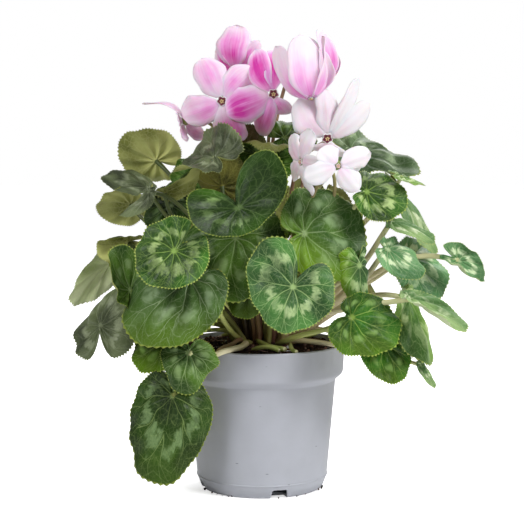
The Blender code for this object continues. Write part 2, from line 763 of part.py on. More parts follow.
def routed(heads, feet, guard):
    """A route for each head's stalk, the longest first. Those without room go first in the next round."""
    room_for = {}
    for name, head in heads.items():
        others = [(other.points, other.faces) for other in heads.values() if other is not head]
        room_for[name] = (tree_of([*others, guard]), tree_of([(head.points, head.faces)]))
    order = sorted(heads, key=lambda n: (-(heads[n].start - feet[n]).length, n))
    kept, kept_room = None, -1e9
    for _ in range(ROUTING_ROUNDS):
        routes, rooms, samples = {}, {}, []
        for name in order:
            near = None
            if samples:
                near = KDTree(len(samples))
                for number, point in enumerate(samples):
                    near.insert(point, number)
                near.balance()
            routes[name], rooms[name] = roomiest(heads[name], feet[name], *room_for[name], near)
            samples += sampled(routes[name])
        if min(rooms.values()) > kept_room:
            kept, kept_room = routes, min(rooms.values())
        tight = [name for name in order if rooms[name] < LEAST_ROOM]
        if not tight:
            break
        order = tight + [name for name in order if name not in tight]
    return kept


def roomiest(head, foot, others, own, near):
    """The first candidate route with room enough, or else the one with the most."""
    best, best_room = None, -1e9
    for route in candidate_routes(foot, head.start, head.arrival):
        room = clearance(route, head.radius, others, own, near, head.own_room)
        if room > best_room:
            best, best_room = route, room
        if room > STALK_CLEARANCE:
            break
    return best, best_room


def make_plant(leaves, flowers):
    """Every blade and corolla in its place, front ones first, and then a stalk for each."""
    guard = pot_guard()
    placed = [tree_of([guard])]
    makers = {name: (leaf_head, leaf) for name, leaf in leaves.items()}
    makers.update({name: (flower_head, flower) for name, flower in flowers.items()})
    front_first = sorted(makers, key=lambda n: (makers[n][1].at[1], n))
    heads = {name: settled(*makers[name], placed) for name in front_first}
    feet = crown_feet({name: head.start for name, head in heads.items()})
    for name, route in routed(heads, feet, guard).items():
        head = heads[name]
        grow = (STALK_FOOT_RADIUS - head.radius) / STALK_RINGS
        radii = [head.radius + grow * k for k in range(len(route))]
        rings = tube_rings(route, head.turns, radii, head.axis)[1:]
        kind = "flower" if name in flowers else "leaf"
        new_object(name, *with_stalk(head.points, head.faces, head.opening, rings), kind)


def main():
    for obj in list(bpy.data.objects):
        bpy.data.objects.remove(obj)
    make_pot()
    make_soil()
    make_corm()
    make_plant({**LEAVES, **rear_leaves()}, FLOWERS)


main()
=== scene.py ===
import math
import bmesh
import bpy
import numpy as np
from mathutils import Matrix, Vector


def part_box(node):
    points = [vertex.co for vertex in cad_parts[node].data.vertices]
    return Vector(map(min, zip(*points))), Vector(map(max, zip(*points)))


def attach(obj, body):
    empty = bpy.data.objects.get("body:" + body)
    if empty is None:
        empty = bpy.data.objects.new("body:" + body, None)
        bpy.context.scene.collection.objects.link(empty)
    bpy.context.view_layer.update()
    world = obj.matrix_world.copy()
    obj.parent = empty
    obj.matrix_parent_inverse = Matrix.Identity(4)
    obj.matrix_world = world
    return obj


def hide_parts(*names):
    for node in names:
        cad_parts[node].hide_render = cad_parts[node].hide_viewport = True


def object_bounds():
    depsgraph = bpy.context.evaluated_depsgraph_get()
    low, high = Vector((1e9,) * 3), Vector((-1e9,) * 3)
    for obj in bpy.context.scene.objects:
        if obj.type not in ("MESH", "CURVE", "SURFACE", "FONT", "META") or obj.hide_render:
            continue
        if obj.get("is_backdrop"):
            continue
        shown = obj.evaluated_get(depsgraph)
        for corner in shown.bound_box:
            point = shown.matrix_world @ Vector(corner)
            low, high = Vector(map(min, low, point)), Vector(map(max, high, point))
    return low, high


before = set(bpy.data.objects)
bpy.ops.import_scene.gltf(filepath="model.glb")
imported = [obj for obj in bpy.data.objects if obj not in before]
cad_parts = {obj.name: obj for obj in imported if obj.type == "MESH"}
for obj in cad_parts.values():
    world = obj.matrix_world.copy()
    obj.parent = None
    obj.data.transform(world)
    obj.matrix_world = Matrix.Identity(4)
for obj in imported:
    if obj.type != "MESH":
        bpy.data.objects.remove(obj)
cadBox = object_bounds()
scene = bpy.context.scene
mm = 0.001
fullTurn = 2 * math.pi
upwards = np.array([0, 0, 1.0])


def hexColour(code):
    # sRGB hex to the linear values that a shader wants
    parts = [int(code[i:i + 2], 16) / 255 for i in (1, 3, 5)]
    return (*[c / 12.92 if c <= 0.04045 else ((c + 0.055) / 1.055) ** 2.4 for c in parts], 1)


def addNode(tree, kind, inputs=(), stops=(), **settings):
    # adds one node, sets it, links or fills its inputs, and returns its outputs
    node = tree.nodes.new("ShaderNode" + kind)
    for name, value in settings.items():
        setattr(node, name, value)
    for key, value in inputs.items() if isinstance(inputs, dict) else enumerate(inputs):
        if isinstance(value, bpy.types.NodeSocket):
            tree.links.new(value, node.inputs[key])
        else:
            node.inputs[key].default_value = hexColour(value) if isinstance(value, str) else value
    for place, colour in stops:
        ramp = node.color_ramp.elements
        stop = ramp[0] if place == stops[0][0] else ramp.new(place)
        stop.position, stop.color = place, hexColour(colour)
    if stops:
        ramp.remove(ramp[-1])
    return node.outputs


operations = {"*": "MULTIPLY", "+": "ADD", "-": "SUBTRACT", "*+": "MULTIPLY_ADD", "abs": "ABSOLUTE",
              "min": "MINIMUM", "max": "MAXIMUM", "round": "ROUND", "fraction": "FRACT"}


def addChain(tree, at, rows, kind="Math", **settings):
    # a row names its result, then gives its inputs: numbers, earlier results, or sums in brackets; sums
    # start with their operation, and *+ multiplies the first two and adds the third
    def found(given):
        if not isinstance(given, tuple):
            return at.get(given, given)
        return addNode(tree, "Math", [found(g) for g in given[1:]], operation=operations[given[0]])[0]

    for name, *given in rows:
        if kind == "Math":
            at[name] = found(tuple(given))
        else:
            at[name] = addNode(tree, kind, [found(g) for g in given], **settings)[0]


def inMillimetres(tree):
    # a pattern laid over this has a scale of one over its size in millimetres
    place = addNode(tree, "TexCoord")["Object"]
    return addNode(tree, "VectorMath", {0: place, 3: 1 / mm}, operation="SCALE")[0]


def streaked(tree, axes, stretch, scale=1.0, detail=2.0):
    # a noise drawn out along a surface's own directions, the third axis telling one piece from another
    axes = [axis if by == 1 else addNode(tree, "Math", (axis, by), operation="MULTIPLY")[0]
            for axis, by in zip(axes, stretch)]
    place = addNode(tree, "CombineXYZ", axes)[0]
    return addNode(tree, "TexNoise", {"Vector": place, "Scale": scale, "Detail": detail})["Fac"]


def layOver(tree, tone, layers):
    # lays colours over a tone, each as strong as its field times its share
    for share, field, colour in layers:
        amount = addNode(tree, "Math", (field, share), operation="MULTIPLY")[0]
        tone = addNode(tree, "Mix", {0: amount, 6: tone, 7: colour}, data_type="RGBA")[2]
    return tone


def newMaterial(name, sockets):
    made = bpy.data.materials.new(name)
    made.use_nodes = True
    shader = made.node_tree.nodes["Principled BSDF"]
    for key, value in sockets.items():
        shader.inputs[key].default_value = value
    return made, made.node_tree


def dressSkin(material, tone, height, depth, strength, satin=None, invert=False):
    # links colour, relief of a depth in millimetres, and roughness where it varies: its field and two ends
    tree = material.node_tree
    sockets = tree.nodes["Principled BSDF"].inputs
    tree.links.new(tone, sockets["Base Color"])
    if satin:
        # a noise seldom leaves this middle part of its range
        varied = addNode(tree, "MapRange", (satin[0], 0.3, 0.7, *satin[1:]))[0]
        tree.links.new(varied, sockets["Roughness"])
    inputs = {"Height": height, "Distance": depth * mm, "Strength": strength}
    tree.links.new(addNode(tree, "Bump", inputs, invert=invert)["Normal"], sockets["Normal"])
    return material


def addPiece(name, points, faces, materials, attributes=None, faceSlots=None, smooth=True):
    # points in millimetres; attributes are one number or three for each point
    mesh = bpy.data.meshes.new(name)
    mesh.from_pydata((np.asarray(points, float) * mm).tolist(), [], faces)
    for material in materials:
        mesh.materials.append(material)
    if faceSlots is not None:
        mesh.polygons.foreach_set("material_index", np.asarray(faceSlots, np.int32))
    for key, values in (attributes or {}).items():
        values = np.asarray(values, np.float32)
        wide = values.ndim == 2
        layer = mesh.attributes.new(key, "FLOAT_VECTOR" if wide else "FLOAT", "POINT")
        layer.data.foreach_set("vector" if wide else "value", values.ravel())
    if smooth:
        mesh.shade_smooth()
    mesh.update()
    piece = bpy.data.objects.new(name, mesh)
    scene.collection.objects.link(piece)
    return piece


def settle(piece, slot, *nodes):
    # a piece moves with the plant's one body and stands for these nodes
    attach(piece, "root")
    if nodes:
        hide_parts(*nodes)


def unit(v):
    return v / np.maximum(np.linalg.norm(v, axis=-1, keepdims=True), 1e-9)


def smoothstep(low, high, x):
    t = np.clip((x - low) / (high - low), 0, 1)
    return t * t * (3 - 2 * t)


def anyPhase(draw):
    return draw.uniform(0, 6.28)


def allRound(count):
    return fullTurn * np.arange(count) / count


def direction(azimuth, rise):
    a, e = math.radians(azimuth), math.radians(rise)
    return np.array([math.sin(a) * math.cos(e), -math.cos(a) * math.cos(e), math.sin(e)])


def facingFrame(face, turn):
    # tip, side and normal of a blade or flower that looks one way, its tip turned from straight down
    normal = direction(*face)
    down = unit(normal * normal[2] - upwards)
    right = np.cross(normal, down)
    t = math.radians(turn)
    tip = down * math.cos(t) + right * math.sin(t)
    return tip, np.cross(normal, tip), normal


def placeAt(origin, axes, local):
    # from a blade's or a flower's own axes into the plant's
    tip, side, normal = axes
    return origin + local[..., :1] * tip + local[..., 1:2] * side + local[..., 2:] * normal


def bridge(first, second, columns, wrap=True, flip=False):
    # quads between two rows of points, closed round if asked
    faces = []
    for c in range(columns if wrap else columns - 1):
        n = (c + 1) % columns
        quad = (first + c, second + c, second + n, first + n)
        faces.append(quad[::-1] if flip else quad)
    return faces


def gridFaces(rows, columns, start=0, wrap=True, flip=False):
    firsts = [start + r * columns for r in range(rows - 1)]
    return [face for first in firsts for face in bridge(first, first + columns, columns, wrap, flip)]


def closedGrid(rows, columns):
    # a tube's sides and the two faces that close it
    last = (rows - 1) * columns
    return gridFaces(rows, columns) + [tuple(range(columns)), tuple(range(last, last + columns))[::-1]]


def outward(points, faces):
    # turns every face over if the closed body's faces look inwards
    p = np.asarray(points, float)
    volume = 0.0
    for face in faces:
        for b, c in zip(face[1:], face[2:]):
            volume += np.dot(p[face[0]], np.cross(p[b], p[c]))
    return faces if volume > 0 else [face[::-1] for face in faces]


def joinMore(points, faces, more, moreFaces):
    # one more closed body in a mesh that holds several
    faces += [tuple(i + len(points) for i in face) for face in outward(more, moreFaces)]
    points += list(more)


def smoothRoute(points, steps):
    # Catmull-Rom curve through the points
    points = np.asarray(points)
    ends = [2 * points[0] - points[1], *points, 2 * points[-1] - points[-2]]
    found = []
    for p, a, b, n in zip(ends, ends[1:], ends[2:], ends[3:]):
        squared, cubed = 2 * p - 5 * a + 4 * b - n, 3 * a - p - 3 * b + n
        for t in np.arange(steps) / steps:
            found.append(0.5 * (2 * a + (b - p) * t + squared * t ** 2 + cubed * t ** 3))
    return np.array([*found, points[-1]])


def tubeRings(route, radii, sides, axis):
    # rings of points round a route, carried along it without twist
    along = unit(np.gradient(route, axis=0))
    turns = allRound(sides)
    rings = []
    for point, tangent, radius in zip(route, along, radii):
        axis = unit(axis - tangent * axis.dot(tangent))
        other = np.cross(axis, tangent)
        rings.append(point + (np.outer(np.cos(turns), axis) + np.outer(np.sin(turns), other)) * radius)
    return np.array(rings)


def turnedGrid(profile, sides):
    # a profile of (radius, height) turned on the upright axis
    turns = allRound(sides)
    out, z = np.asarray(profile, float).T[:, :, None]
    return np.stack([out * np.cos(turns), out * np.sin(turns), z + 0 * turns], -1)


studio = {
    "cameraPlace": (0, -1.2, 0.285),
    "cameraAim": (0, 0, 0.164),
    "lens": 114.6,
    "lampAim": (0, 0, 0.17),
    "roomLight": 0.16,  # what the white room sheds on the plant
    "backdrop": 1.0,  # and how bright it is where it is seen
    "softboxes": {  # place and width in metres, and watts
        "keySoftbox": ((0.85, -0.75, 0.95), 0.55, 13.5),
        "leftSoftbox": ((-0.75, -0.8, 1.0), 0.5, 9),
        "backSoftbox": ((0.45, 0.8, 1.0), 0.8, 8.5),
    },
}


def pointAt(thing, place, aim):
    thing.location = place
    thing.rotation_euler = (Vector(aim) - thing.location).to_track_quat("-Z", "Y").to_euler()
    scene.collection.objects.link(thing)


def makeStudio():
    camera = bpy.data.objects.new("camera", bpy.data.cameras.new("camera"))
    camera.data.lens = studio["lens"]
    pointAt(camera, studio["cameraPlace"], studio["cameraAim"])
    scene.camera = camera
    for name, (place, size, watts) in studio["softboxes"].items():
        lamp = bpy.data.lights.new(name, "AREA")
        lamp.size, lamp.energy = size, watts
        pointAt(bpy.data.objects.new(name, lamp), place, studio["lampAim"])
    scene.world = bpy.data.worlds.new("paleStudio")
    scene.world.use_nodes = True
    tree = scene.world.node_tree
    background = tree.nodes["Background"].inputs
    background["Color"].default_value = (1, 1, 1, 1)
    seen = addNode(tree, "LightPath")["Is Camera Ray"]
    strength = addNode(tree, "MapRange", {0: seen, 3: studio["roomLight"], 4: studio["backdrop"]})[0]
    tree.links.new(strength, background["Strength"])
    scene.view_settings.view_transform = "Standard"


sweep = {
    "half": 4000,
    "tones": ("#f4f4f5", "#fafafa"),
    "patches": 6.0,  # to the metre
    "shadow": (0.06, 0.3),  # metres from the pot's middle where its painted soft shadow is deepest and where it ends
    "brightness": (0.66, 0.92),
}


def makeFloor():
    # painted studio sweep, rolled matt: white with the faintest unevenness
    material, tree = newMaterial("mattPaintedSweep", {"Roughness": 0.9})
    sockets = tree.nodes["Principled BSDF"].inputs
    place = addNode(tree, "TexCoord")["Object"]
    grain = addNode(tree, "TexNoise", {"Vector": place, "Scale": sweep["patches"], "Detail": 2.0})["Fac"]
    low, high = sweep["tones"]
    tone = addNode(tree, "Mix", {0: grain, 6: low, 7: high}, data_type="RGBA")[2]
    # burnt out to white where it is seen, without lighting the plant from below; its glow is painted lower
    # near the pot as a soft shadow
    seen = addNode(tree, "LightPath")["Is Camera Ray"]
    away = addNode(tree, "VectorMath", (place,), operation="LENGTH")["Value"]
    # painted shadow: the floor's glow is lower close to the pot
    unshaded = addNode(tree, "MapRange", (away, *sweep["shadow"], *sweep["brightness"]),
                       interpolation_type="SMOOTHSTEP")[0]
    glow = addNode(tree, "Math", (seen, unshaded), operation="MULTIPLY")[0]
    for source, socket in ((tone, "Base Color"), (tone, "Emission Color"), (glow, "Emission Strength")):
        tree.links.new(source, sockets[socket])
    half = sweep["half"]
    corners = [(-half, -half, 0), (half, -half, 0), (half, half, 0), (-half, half, 0)]
    addPiece("floor", corners, [(0, 1, 2, 3)], [material])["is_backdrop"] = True


makeStudio()
makeFloor()
print("camera, light and floor")

ribs = {
    "spacing": 40.0,  # degrees between main ribs
    "sweep": 0.34,  # how far ribs lean towards the tip at the margin, in spacings
    "firstFork": 0.40,
    "secondFork": 0.70,
    "netMesh": 3.4,  # the real net is finer, about 1 mm, and is drawn this coarse so that it shows
    "ringAt": 1.05,  # how far out the pale patches lie, after their raggedness is added
    "blotAt": 0.88,
    # the noises' sizes in millimetres of the flat blade, and their detail
    "noises": {"wander": (14.0, 1.0), "cloud": (9.0, 3.0), "fine": (1.6, 2.0), "drift": (26.0, 1.0)},
}
ribFields = {"Rib": "anyRib", "Net": "netLine", "Patch": "marbling", "Blotch": "blotch", "Edge": "edgeLine",
             "Core": "core", "Cloud": "drift", "Near": "cloud"}


def makeRibGroup():
    # ribs that fork twice on their way to the margin, side ribs, a fine net, and the ring of pale patches
    tree = bpy.data.node_groups.new("leafRibs", "ShaderNodeTree")
    polar, flat = [addNode(tree, "Attribute", attribute_name=key)["Vector"] for key in ("polar", "flat")]
    at = dict(zip(("spacings", "share", "reach"), addNode(tree, "SeparateXYZ", (polar,))))
    for name, (period, detail) in ribs["noises"].items():
        at[name] = addNode(tree, "TexNoise", {"Vector": flat, "Scale": 1 / period, "Detail": detail})["Fac"]
    seed = addNode(tree, "SeparateXYZ", (flat,))[2]
    at["streak"] = streaked(tree, (at["spacings"], at["share"], seed), (6.5, 2.2, 1), detail=3.0)
    net = {"Vector": flat, "Scale": 1 / ribs["netMesh"], "Randomness": 0.9}
    at["cell"] = addNode(tree, "TexVoronoi", net, feature="DISTANCE_TO_EDGE")["Distance"]
    addChain(tree, at, (
        # ribs wander and lean towards the tip, all but the straight midrib
        ("lean", "*", ("*", "share", "share"), ribs["sweep"]),
        ("moved", "-", ("*+", "wander", 0.62, "lean"), 0.31),
        ("turned", "*+", "moved", ("min", "spacings", 1.0), "spacings"),
        ("aside", "abs", ("-", "turned", ("round", "turned"))),
        # they fork twice
        ("firstArm", "*", ("max", ("-", "share", ribs["firstFork"]), 0.0), 0.5),
        ("byFirst", "abs", ("-", "aside", "firstArm")),
        ("secondArm", "*", ("max", ("-", "share", ribs["secondFork"]), 0.0), 0.42),
        ("bySecond", "abs", ("-", "byFirst", "secondArm")),
        ("awayMillimetres", "*", ("*", "bySecond", "reach"), math.radians(ribs["spacing"])),
        # side ribs climb outwards from the main ones
        ("climb", "*+", "cloud", 0.10, ("*+", "aside", -0.34, "share")),
        ("byStep", "abs", ("-", ("fraction", ("*", "climb", 6.0)), 0.5)),
        # patches sit between the main ribs in a ring, their ends drawn out into streaks
        ("ragged", "*+", "cloud", 0.22, ("*+", "streak", 0.36, "share")),
        ("byRing", "abs", ("-", ("*+", "wander", 0.4, "ragged"), ribs["ringAt"])),
        ("besideRib", "*+", "streak", 0.16, "aside"),
        # blotches are rounder and softer, with no streaks
        ("blotted", "*+", "cloud", 0.14, ("*+", "wander", 0.5, "share")),
        ("byBlot", "abs", ("-", "blotted", ribs["blotAt"])),
        ("besideBlot", "*+", "cloud", 0.2, "aside"),
    ))
    # each row: a value, the range of it that counts, and what that turns into
    addChain(tree, at, (
        ("ribWidth", "share", 0.0, 0.9, 0.74, 0.3),
        ("ribCore", "share", 0.0, 1.0, 0.15, 0.02),
        ("line", "awayMillimetres", "ribCore", "ribWidth", 1.0, 0.0),
        ("ribHere", "drift", 0.34, 0.56, 0.4, 1.0),
        ("outerFade", "share", 0.5, 0.95, 1.0, 0.8),
        ("nearHub", "reach", 1.2, 3.2, 1.0, 0.0),
        ("sideLine", "byStep", 0.0, 0.09, 1.0, 0.0),
        ("sideFade", "share", 0.12, 0.35, 0.0, 0.42),
        ("flecks", "fine", 0.35, 0.6, 0.35, 1.0),
        ("ring", "byRing", 0.06, 0.15, 1.0, 0.0),
        ("between", "besideRib", 0.13, 0.26, 0.0, 1.0),
        ("uneven", "drift", 0.36, 0.52, 0.35, 1.25),
        ("softFlecks", "fine", 0.3, 0.65, 0.7, 1.0),
        ("mottle", "cloud", 0.36, 0.5, 0.5, 1.25),
        ("blotRing", "byBlot", 0.03, 0.16, 1.0, 0.0),
        ("blotBetween", "besideBlot", 0.24, 0.42, 0.0, 1.0),
        ("core", "share", 0.1, 0.62, 1.0, 0.0),
        ("netLine", "cell", 0.0, 0.09, 1.0, 0.0),
        ("edgeLine", "share", 0.98, 0.997, 0.0, 1.0),
    ), "MapRange", interpolation_type="SMOOTHSTEP")
    addChain(tree, at, (
        ("mainRibs", "*", ("*", "line", "ribHere"), "outerFade"),
        ("sideRibs", "*", ("*", "sideLine", "sideFade"), "flecks"),
        ("anyRib", "max", ("max", "mainRibs", "sideRibs"), "nearHub"),
        ("patch", "*", ("*", "ring", "between"), "uneven"),
        ("marbling", "*", ("*", "patch", "softFlecks"), "mottle"),
        ("blotch", "*", ("*", "blotRing", "blotBetween"), "mottle"),
    ))
    end = tree.nodes.new("NodeGroupOutput")
    for name, source in ribFields.items():
        tree.interface.new_socket(name, in_out="OUTPUT", socket_type="NodeSocketFloat")
        tree.links.new(at[source], end.inputs[name])
    return tree


ribGroup = makeRibGroup()


def leafLook(deep, green, core, marks, patch, patchShare, rib, ribShare, edge):
    # two greens, how dark the middle is, which pale marks and how strong, the ribs and the margin's line
    return locals()


leafLooks = {
    "marbled": leafLook("#0f2504", "#335c12", 0.7, "Patch", "#a9bf84", 0.8, "#a3bf72", 0.52, "#aebd56"),
    "bright": leafLook("#103209", "#346a1c", 0.8, "Patch", "#b3ca86", 0.8, "#a5c766", 0.6, "#c2cf6a"),
    "bluish": leafLook("#153d18", "#447a36", 0.7, "Patch", "#b2c890", 0.56, "#b4d08a", 0.64, "#c2cf6a"),
    "deep": leafLook("#0a1604", "#27420f", 0.8, "Blotch", "#62794a", 0.42, "#7f9562", 0.28, "#9dad50"),
    "veined": leafLook("#1c3410", "#41602a", 0.3, "Blotch", "#8ba27a", 0.6, "#a9bc90", 0.56, "#a9b552"),
    "misted": leafLook("#2c4420", "#587048", 0.2, "Patch", "#9fb38c", 0.6, "#9fb38c", 0.4, "#a9b552"),
    "dappled": leafLook("#2f6634", "#669c62", 0.4, "Patch", "#d3e3b8", 0.8, "#c9dbaa", 0.6, "#bcc879"),
    "folded": leafLook("#0e2604", "#2f5210", 1.0, "Patch", "#84a062", 0.75, "#7f9c5c", 0.3, "#9dad50"),
    # paler greyish greens that paint the blade's sheen into its colour
    "paintedSheen": leafLook("#284a14", "#5f8438", 0.2, "Blotch", "#9ab684", 0.5, "#b2c892", 0.5, "#b8c65e"),
    "broad": leafLook("#0e2002", "#32560d", 0.5, "Blotch", "#6f9046", 0.5, "#94ad62", 0.42, "#adbc4c"),
    # a paler copy of the broad greens: painted soft light and sheen
    "paintedLightSoft": leafLook("#1d3a0a", "#4d7022", 0.3, "Blotch", "#8aa46c", 0.5, "#a6bd82", 0.5, "#b8c65e"),
    "vivid": leafLook("#12380a", "#33701c", 0.3, "Blotch", "#86a95c", 0.5, "#a8c25e", 0.48, "#b4c558"),
    "streaked": leafLook("#102404", "#27440a", 0.2, "Patch", "#7f9a66", 0.46, "#9cb46c", 0.5, "#adbc4c"),
    "silver": leafLook("#333b26", "#68744f", 0.5, "Patch", "#9aa384", 0.45, "#959f7d", 0.45, "#8f9a5c"),
    "fresh": leafLook("#2f591a", "#6b9238", 0.4, "Patch", "#bccf94", 0.65, "#b3cb85", 0.6, "#b3bf68"),
    # paler greens for leaves on the brightly lit right side: painted light
    "paintedSunlight": leafLook("#4f7a40", "#8cab6a", 0.3, "Patch", "#d0dcb4", 0.7, "#c6d6a6", 0.55, "#bcc879"),
}
glowColour = "#7aa018"  # painted light that comes through a blade, laid into the top's colour


def leafTop(name, look):
    # waxy cuticle over living tissue: a soft satin, with the marbling under it and the ribs pressed in
    material, tree = newMaterial(name + "LeafTop", {"IOR": 1.45, "Specular IOR Level": 0.18})
    field = addNode(tree, "Group", node_tree=ribGroup)
    mottled = addNode(tree, "MapRange", (field["Cloud"], 0.4, 0.62))[0]
    glow, marked = [addNode(tree, "Attribute", attribute_name=key)["Fac"] for key in ("glow", "marked")]
    marks = addNode(tree, "Math", (field[look["marks"]], marked), operation="MULTIPLY")[0]
    tone = addNode(tree, "Mix", {0: mottled, 6: look["deep"], 7: look["green"]}, data_type="RGBA")[2]
    tone = layOver(tree, tone, (
        (look["core"], field["Core"], look["deep"]),
        (0.10, field["Near"], look["patch"]),
        (0.10, field["Net"], look["rib"]),
        (look["patchShare"], marks, look["patch"]),
        # painted light coming through the blade, yellow-green towards one side
        (0.9, glow, glowColour),
        (look["ribShare"], field["Rib"], look["rib"]),
        (0.66, field["Edge"], look["edge"]),
    ))
    # the net is pressed in a quarter as deep as the ribs
    netDepth = addNode(tree, "Math", (field["Net"], 0.25), operation="MULTIPLY")[0]
    pressed = addNode(tree, "Math", (field["Rib"], netDepth), operation="MAXIMUM")[0]
    return dressSkin(material, tone, pressed, 0.25, 0.6, (field["Near"], 0.28, 0.44), invert=True)


# two tones, the ribs' tone and how strong it is
underLooks = {
    "olive": ("#6e7434", "#c8cc7e", "#c2c486", 0.4),
    "folded": ("#33370f", "#7d7b38", "#98944c", 0.3),
    "dusky": ("#42471c", "#656a34", "#84875a", 0.4),
    "mint": ("#93a974", "#b9c69a", "#c6d0ac", 0.5),
    "pale": ("#bccb90", "#e6eec2", "#d6d8b6", 0.4),
}


def leafUnder(name, deep, green, rib, ribShare):
    # the underside has no wax: matt, paler and unmarbled, its ribs standing out
    material, tree = newMaterial(name + "LeafUnderside", {"IOR": 1.4, "Specular IOR Level": 0.25})
    field = addNode(tree, "Group", node_tree=ribGroup)
    mottled = addNode(tree, "MapRange", (field["Cloud"], 0.35, 0.65))[0]
    tone = addNode(tree, "Mix", {0: mottled, 6: deep, 7: green}, data_type="RGBA")[2]
    tone = layOver(tree, tone, ((0.3, field["Net"], rib), (ribShare, field["Rib"], rib)))
    return dressSkin(material, tone, field["Rib"], 0.3, 0.6, (field["Near"], 0.5, 0.62))


# a stalk's tone at its foot, halfway and by the blade or the flower
stalkLooks = {
    "green": ("#8f8a50", "#a5ad62", "#6f8238"),
    "rosy": ("#7d5a48", "#97805a", "#767d3c"),
    # darker stalks for the inner and back leaves: painted shade, as if shade falls on them among the leaves
    "paintedShade": ("#4f3c2c", "#545a2c", "#48562a"),
    "cream": ("#cbb78a", "#e8deb8", "#bfc38c"),
    "rosyFlower": ("#8a6152", "#9c7a62", "#8d9a55"),
}


def stalkSkin(name, tones):
    # fleshy stalk with a thin wax: its fibres, a fifth of a millimetre wide, are drawn at half a millimetre
    material, tree = newMaterial(name + "Stalk", {"IOR": 1.4, "Coat Weight": 0.1, "Coat Roughness": 0.4})
    along = addNode(tree, "Attribute", attribute_name="along")["Vector"]
    share, around, seed = addNode(tree, "SeparateXYZ", (along,))
    at = {"share": share, "streak": streaked(tree, (share, around, seed), (6.0, 1, 1), 3.0, 3.0)}
    addChain(tree, at, (("place", "-", ("*+", "streak", 0.35, "share"), 0.17),))
    tone = addNode(tree, "ValToRGB", (at["place"],), stops=list(zip((0.05, 0.45, 0.95), tones)))[0]
    return dressSkin(material, tone, at["streak"], 0.15, 0.5, (at["streak"], 0.38, 0.55))


topMaterials = {name: leafTop(name, look) for name, look in leafLooks.items()}
underMaterials = {name: leafUnder(name, *look) for name, look in underLooks.items()}
stalkMaterials = {name: stalkSkin(name, tones) for name, tones in stalkLooks.items()}
print("leaf and stalk materials")


def leafShape(face, turn, length, width=1.0, setBack=0.25, sinus=14, along=15, across=15, lobes=0, wave=0.03,
              phase=0, funnel=0, spiral=0, roll=0, twist=0, frill=1.5, top="marbled", under="olive", glow=0.0,
              glowWay=(0, -1), glowFrom=0.45, cleft=0.8, stalk="green", thick=1.2, tuck=(0, 0, 0), via=(),
              lopsided=0.0, taper=0.06, marked=(0, 400)):
    # face is azimuth (0 front, 90 right) and rise, length in millimetres, width its multiple across;
    # setBack is how far the hub lies behind the blade's middle, sinus and cleft the notch's spread and depth;
    # along, across, lobes, funnel and twist bend the blade, in degrees, and wave, frill and roll its margin;
    # lopsided enlarges one back lobe, and taper draws the shoulders in;
    # glow is painted light coming through, towards glowWay and from glowFrom on; marked is the bearing that
    # the pale patches lie round, and their spread; tuck pushes the stalk aside, and via are places that it
    # passes
    return locals()


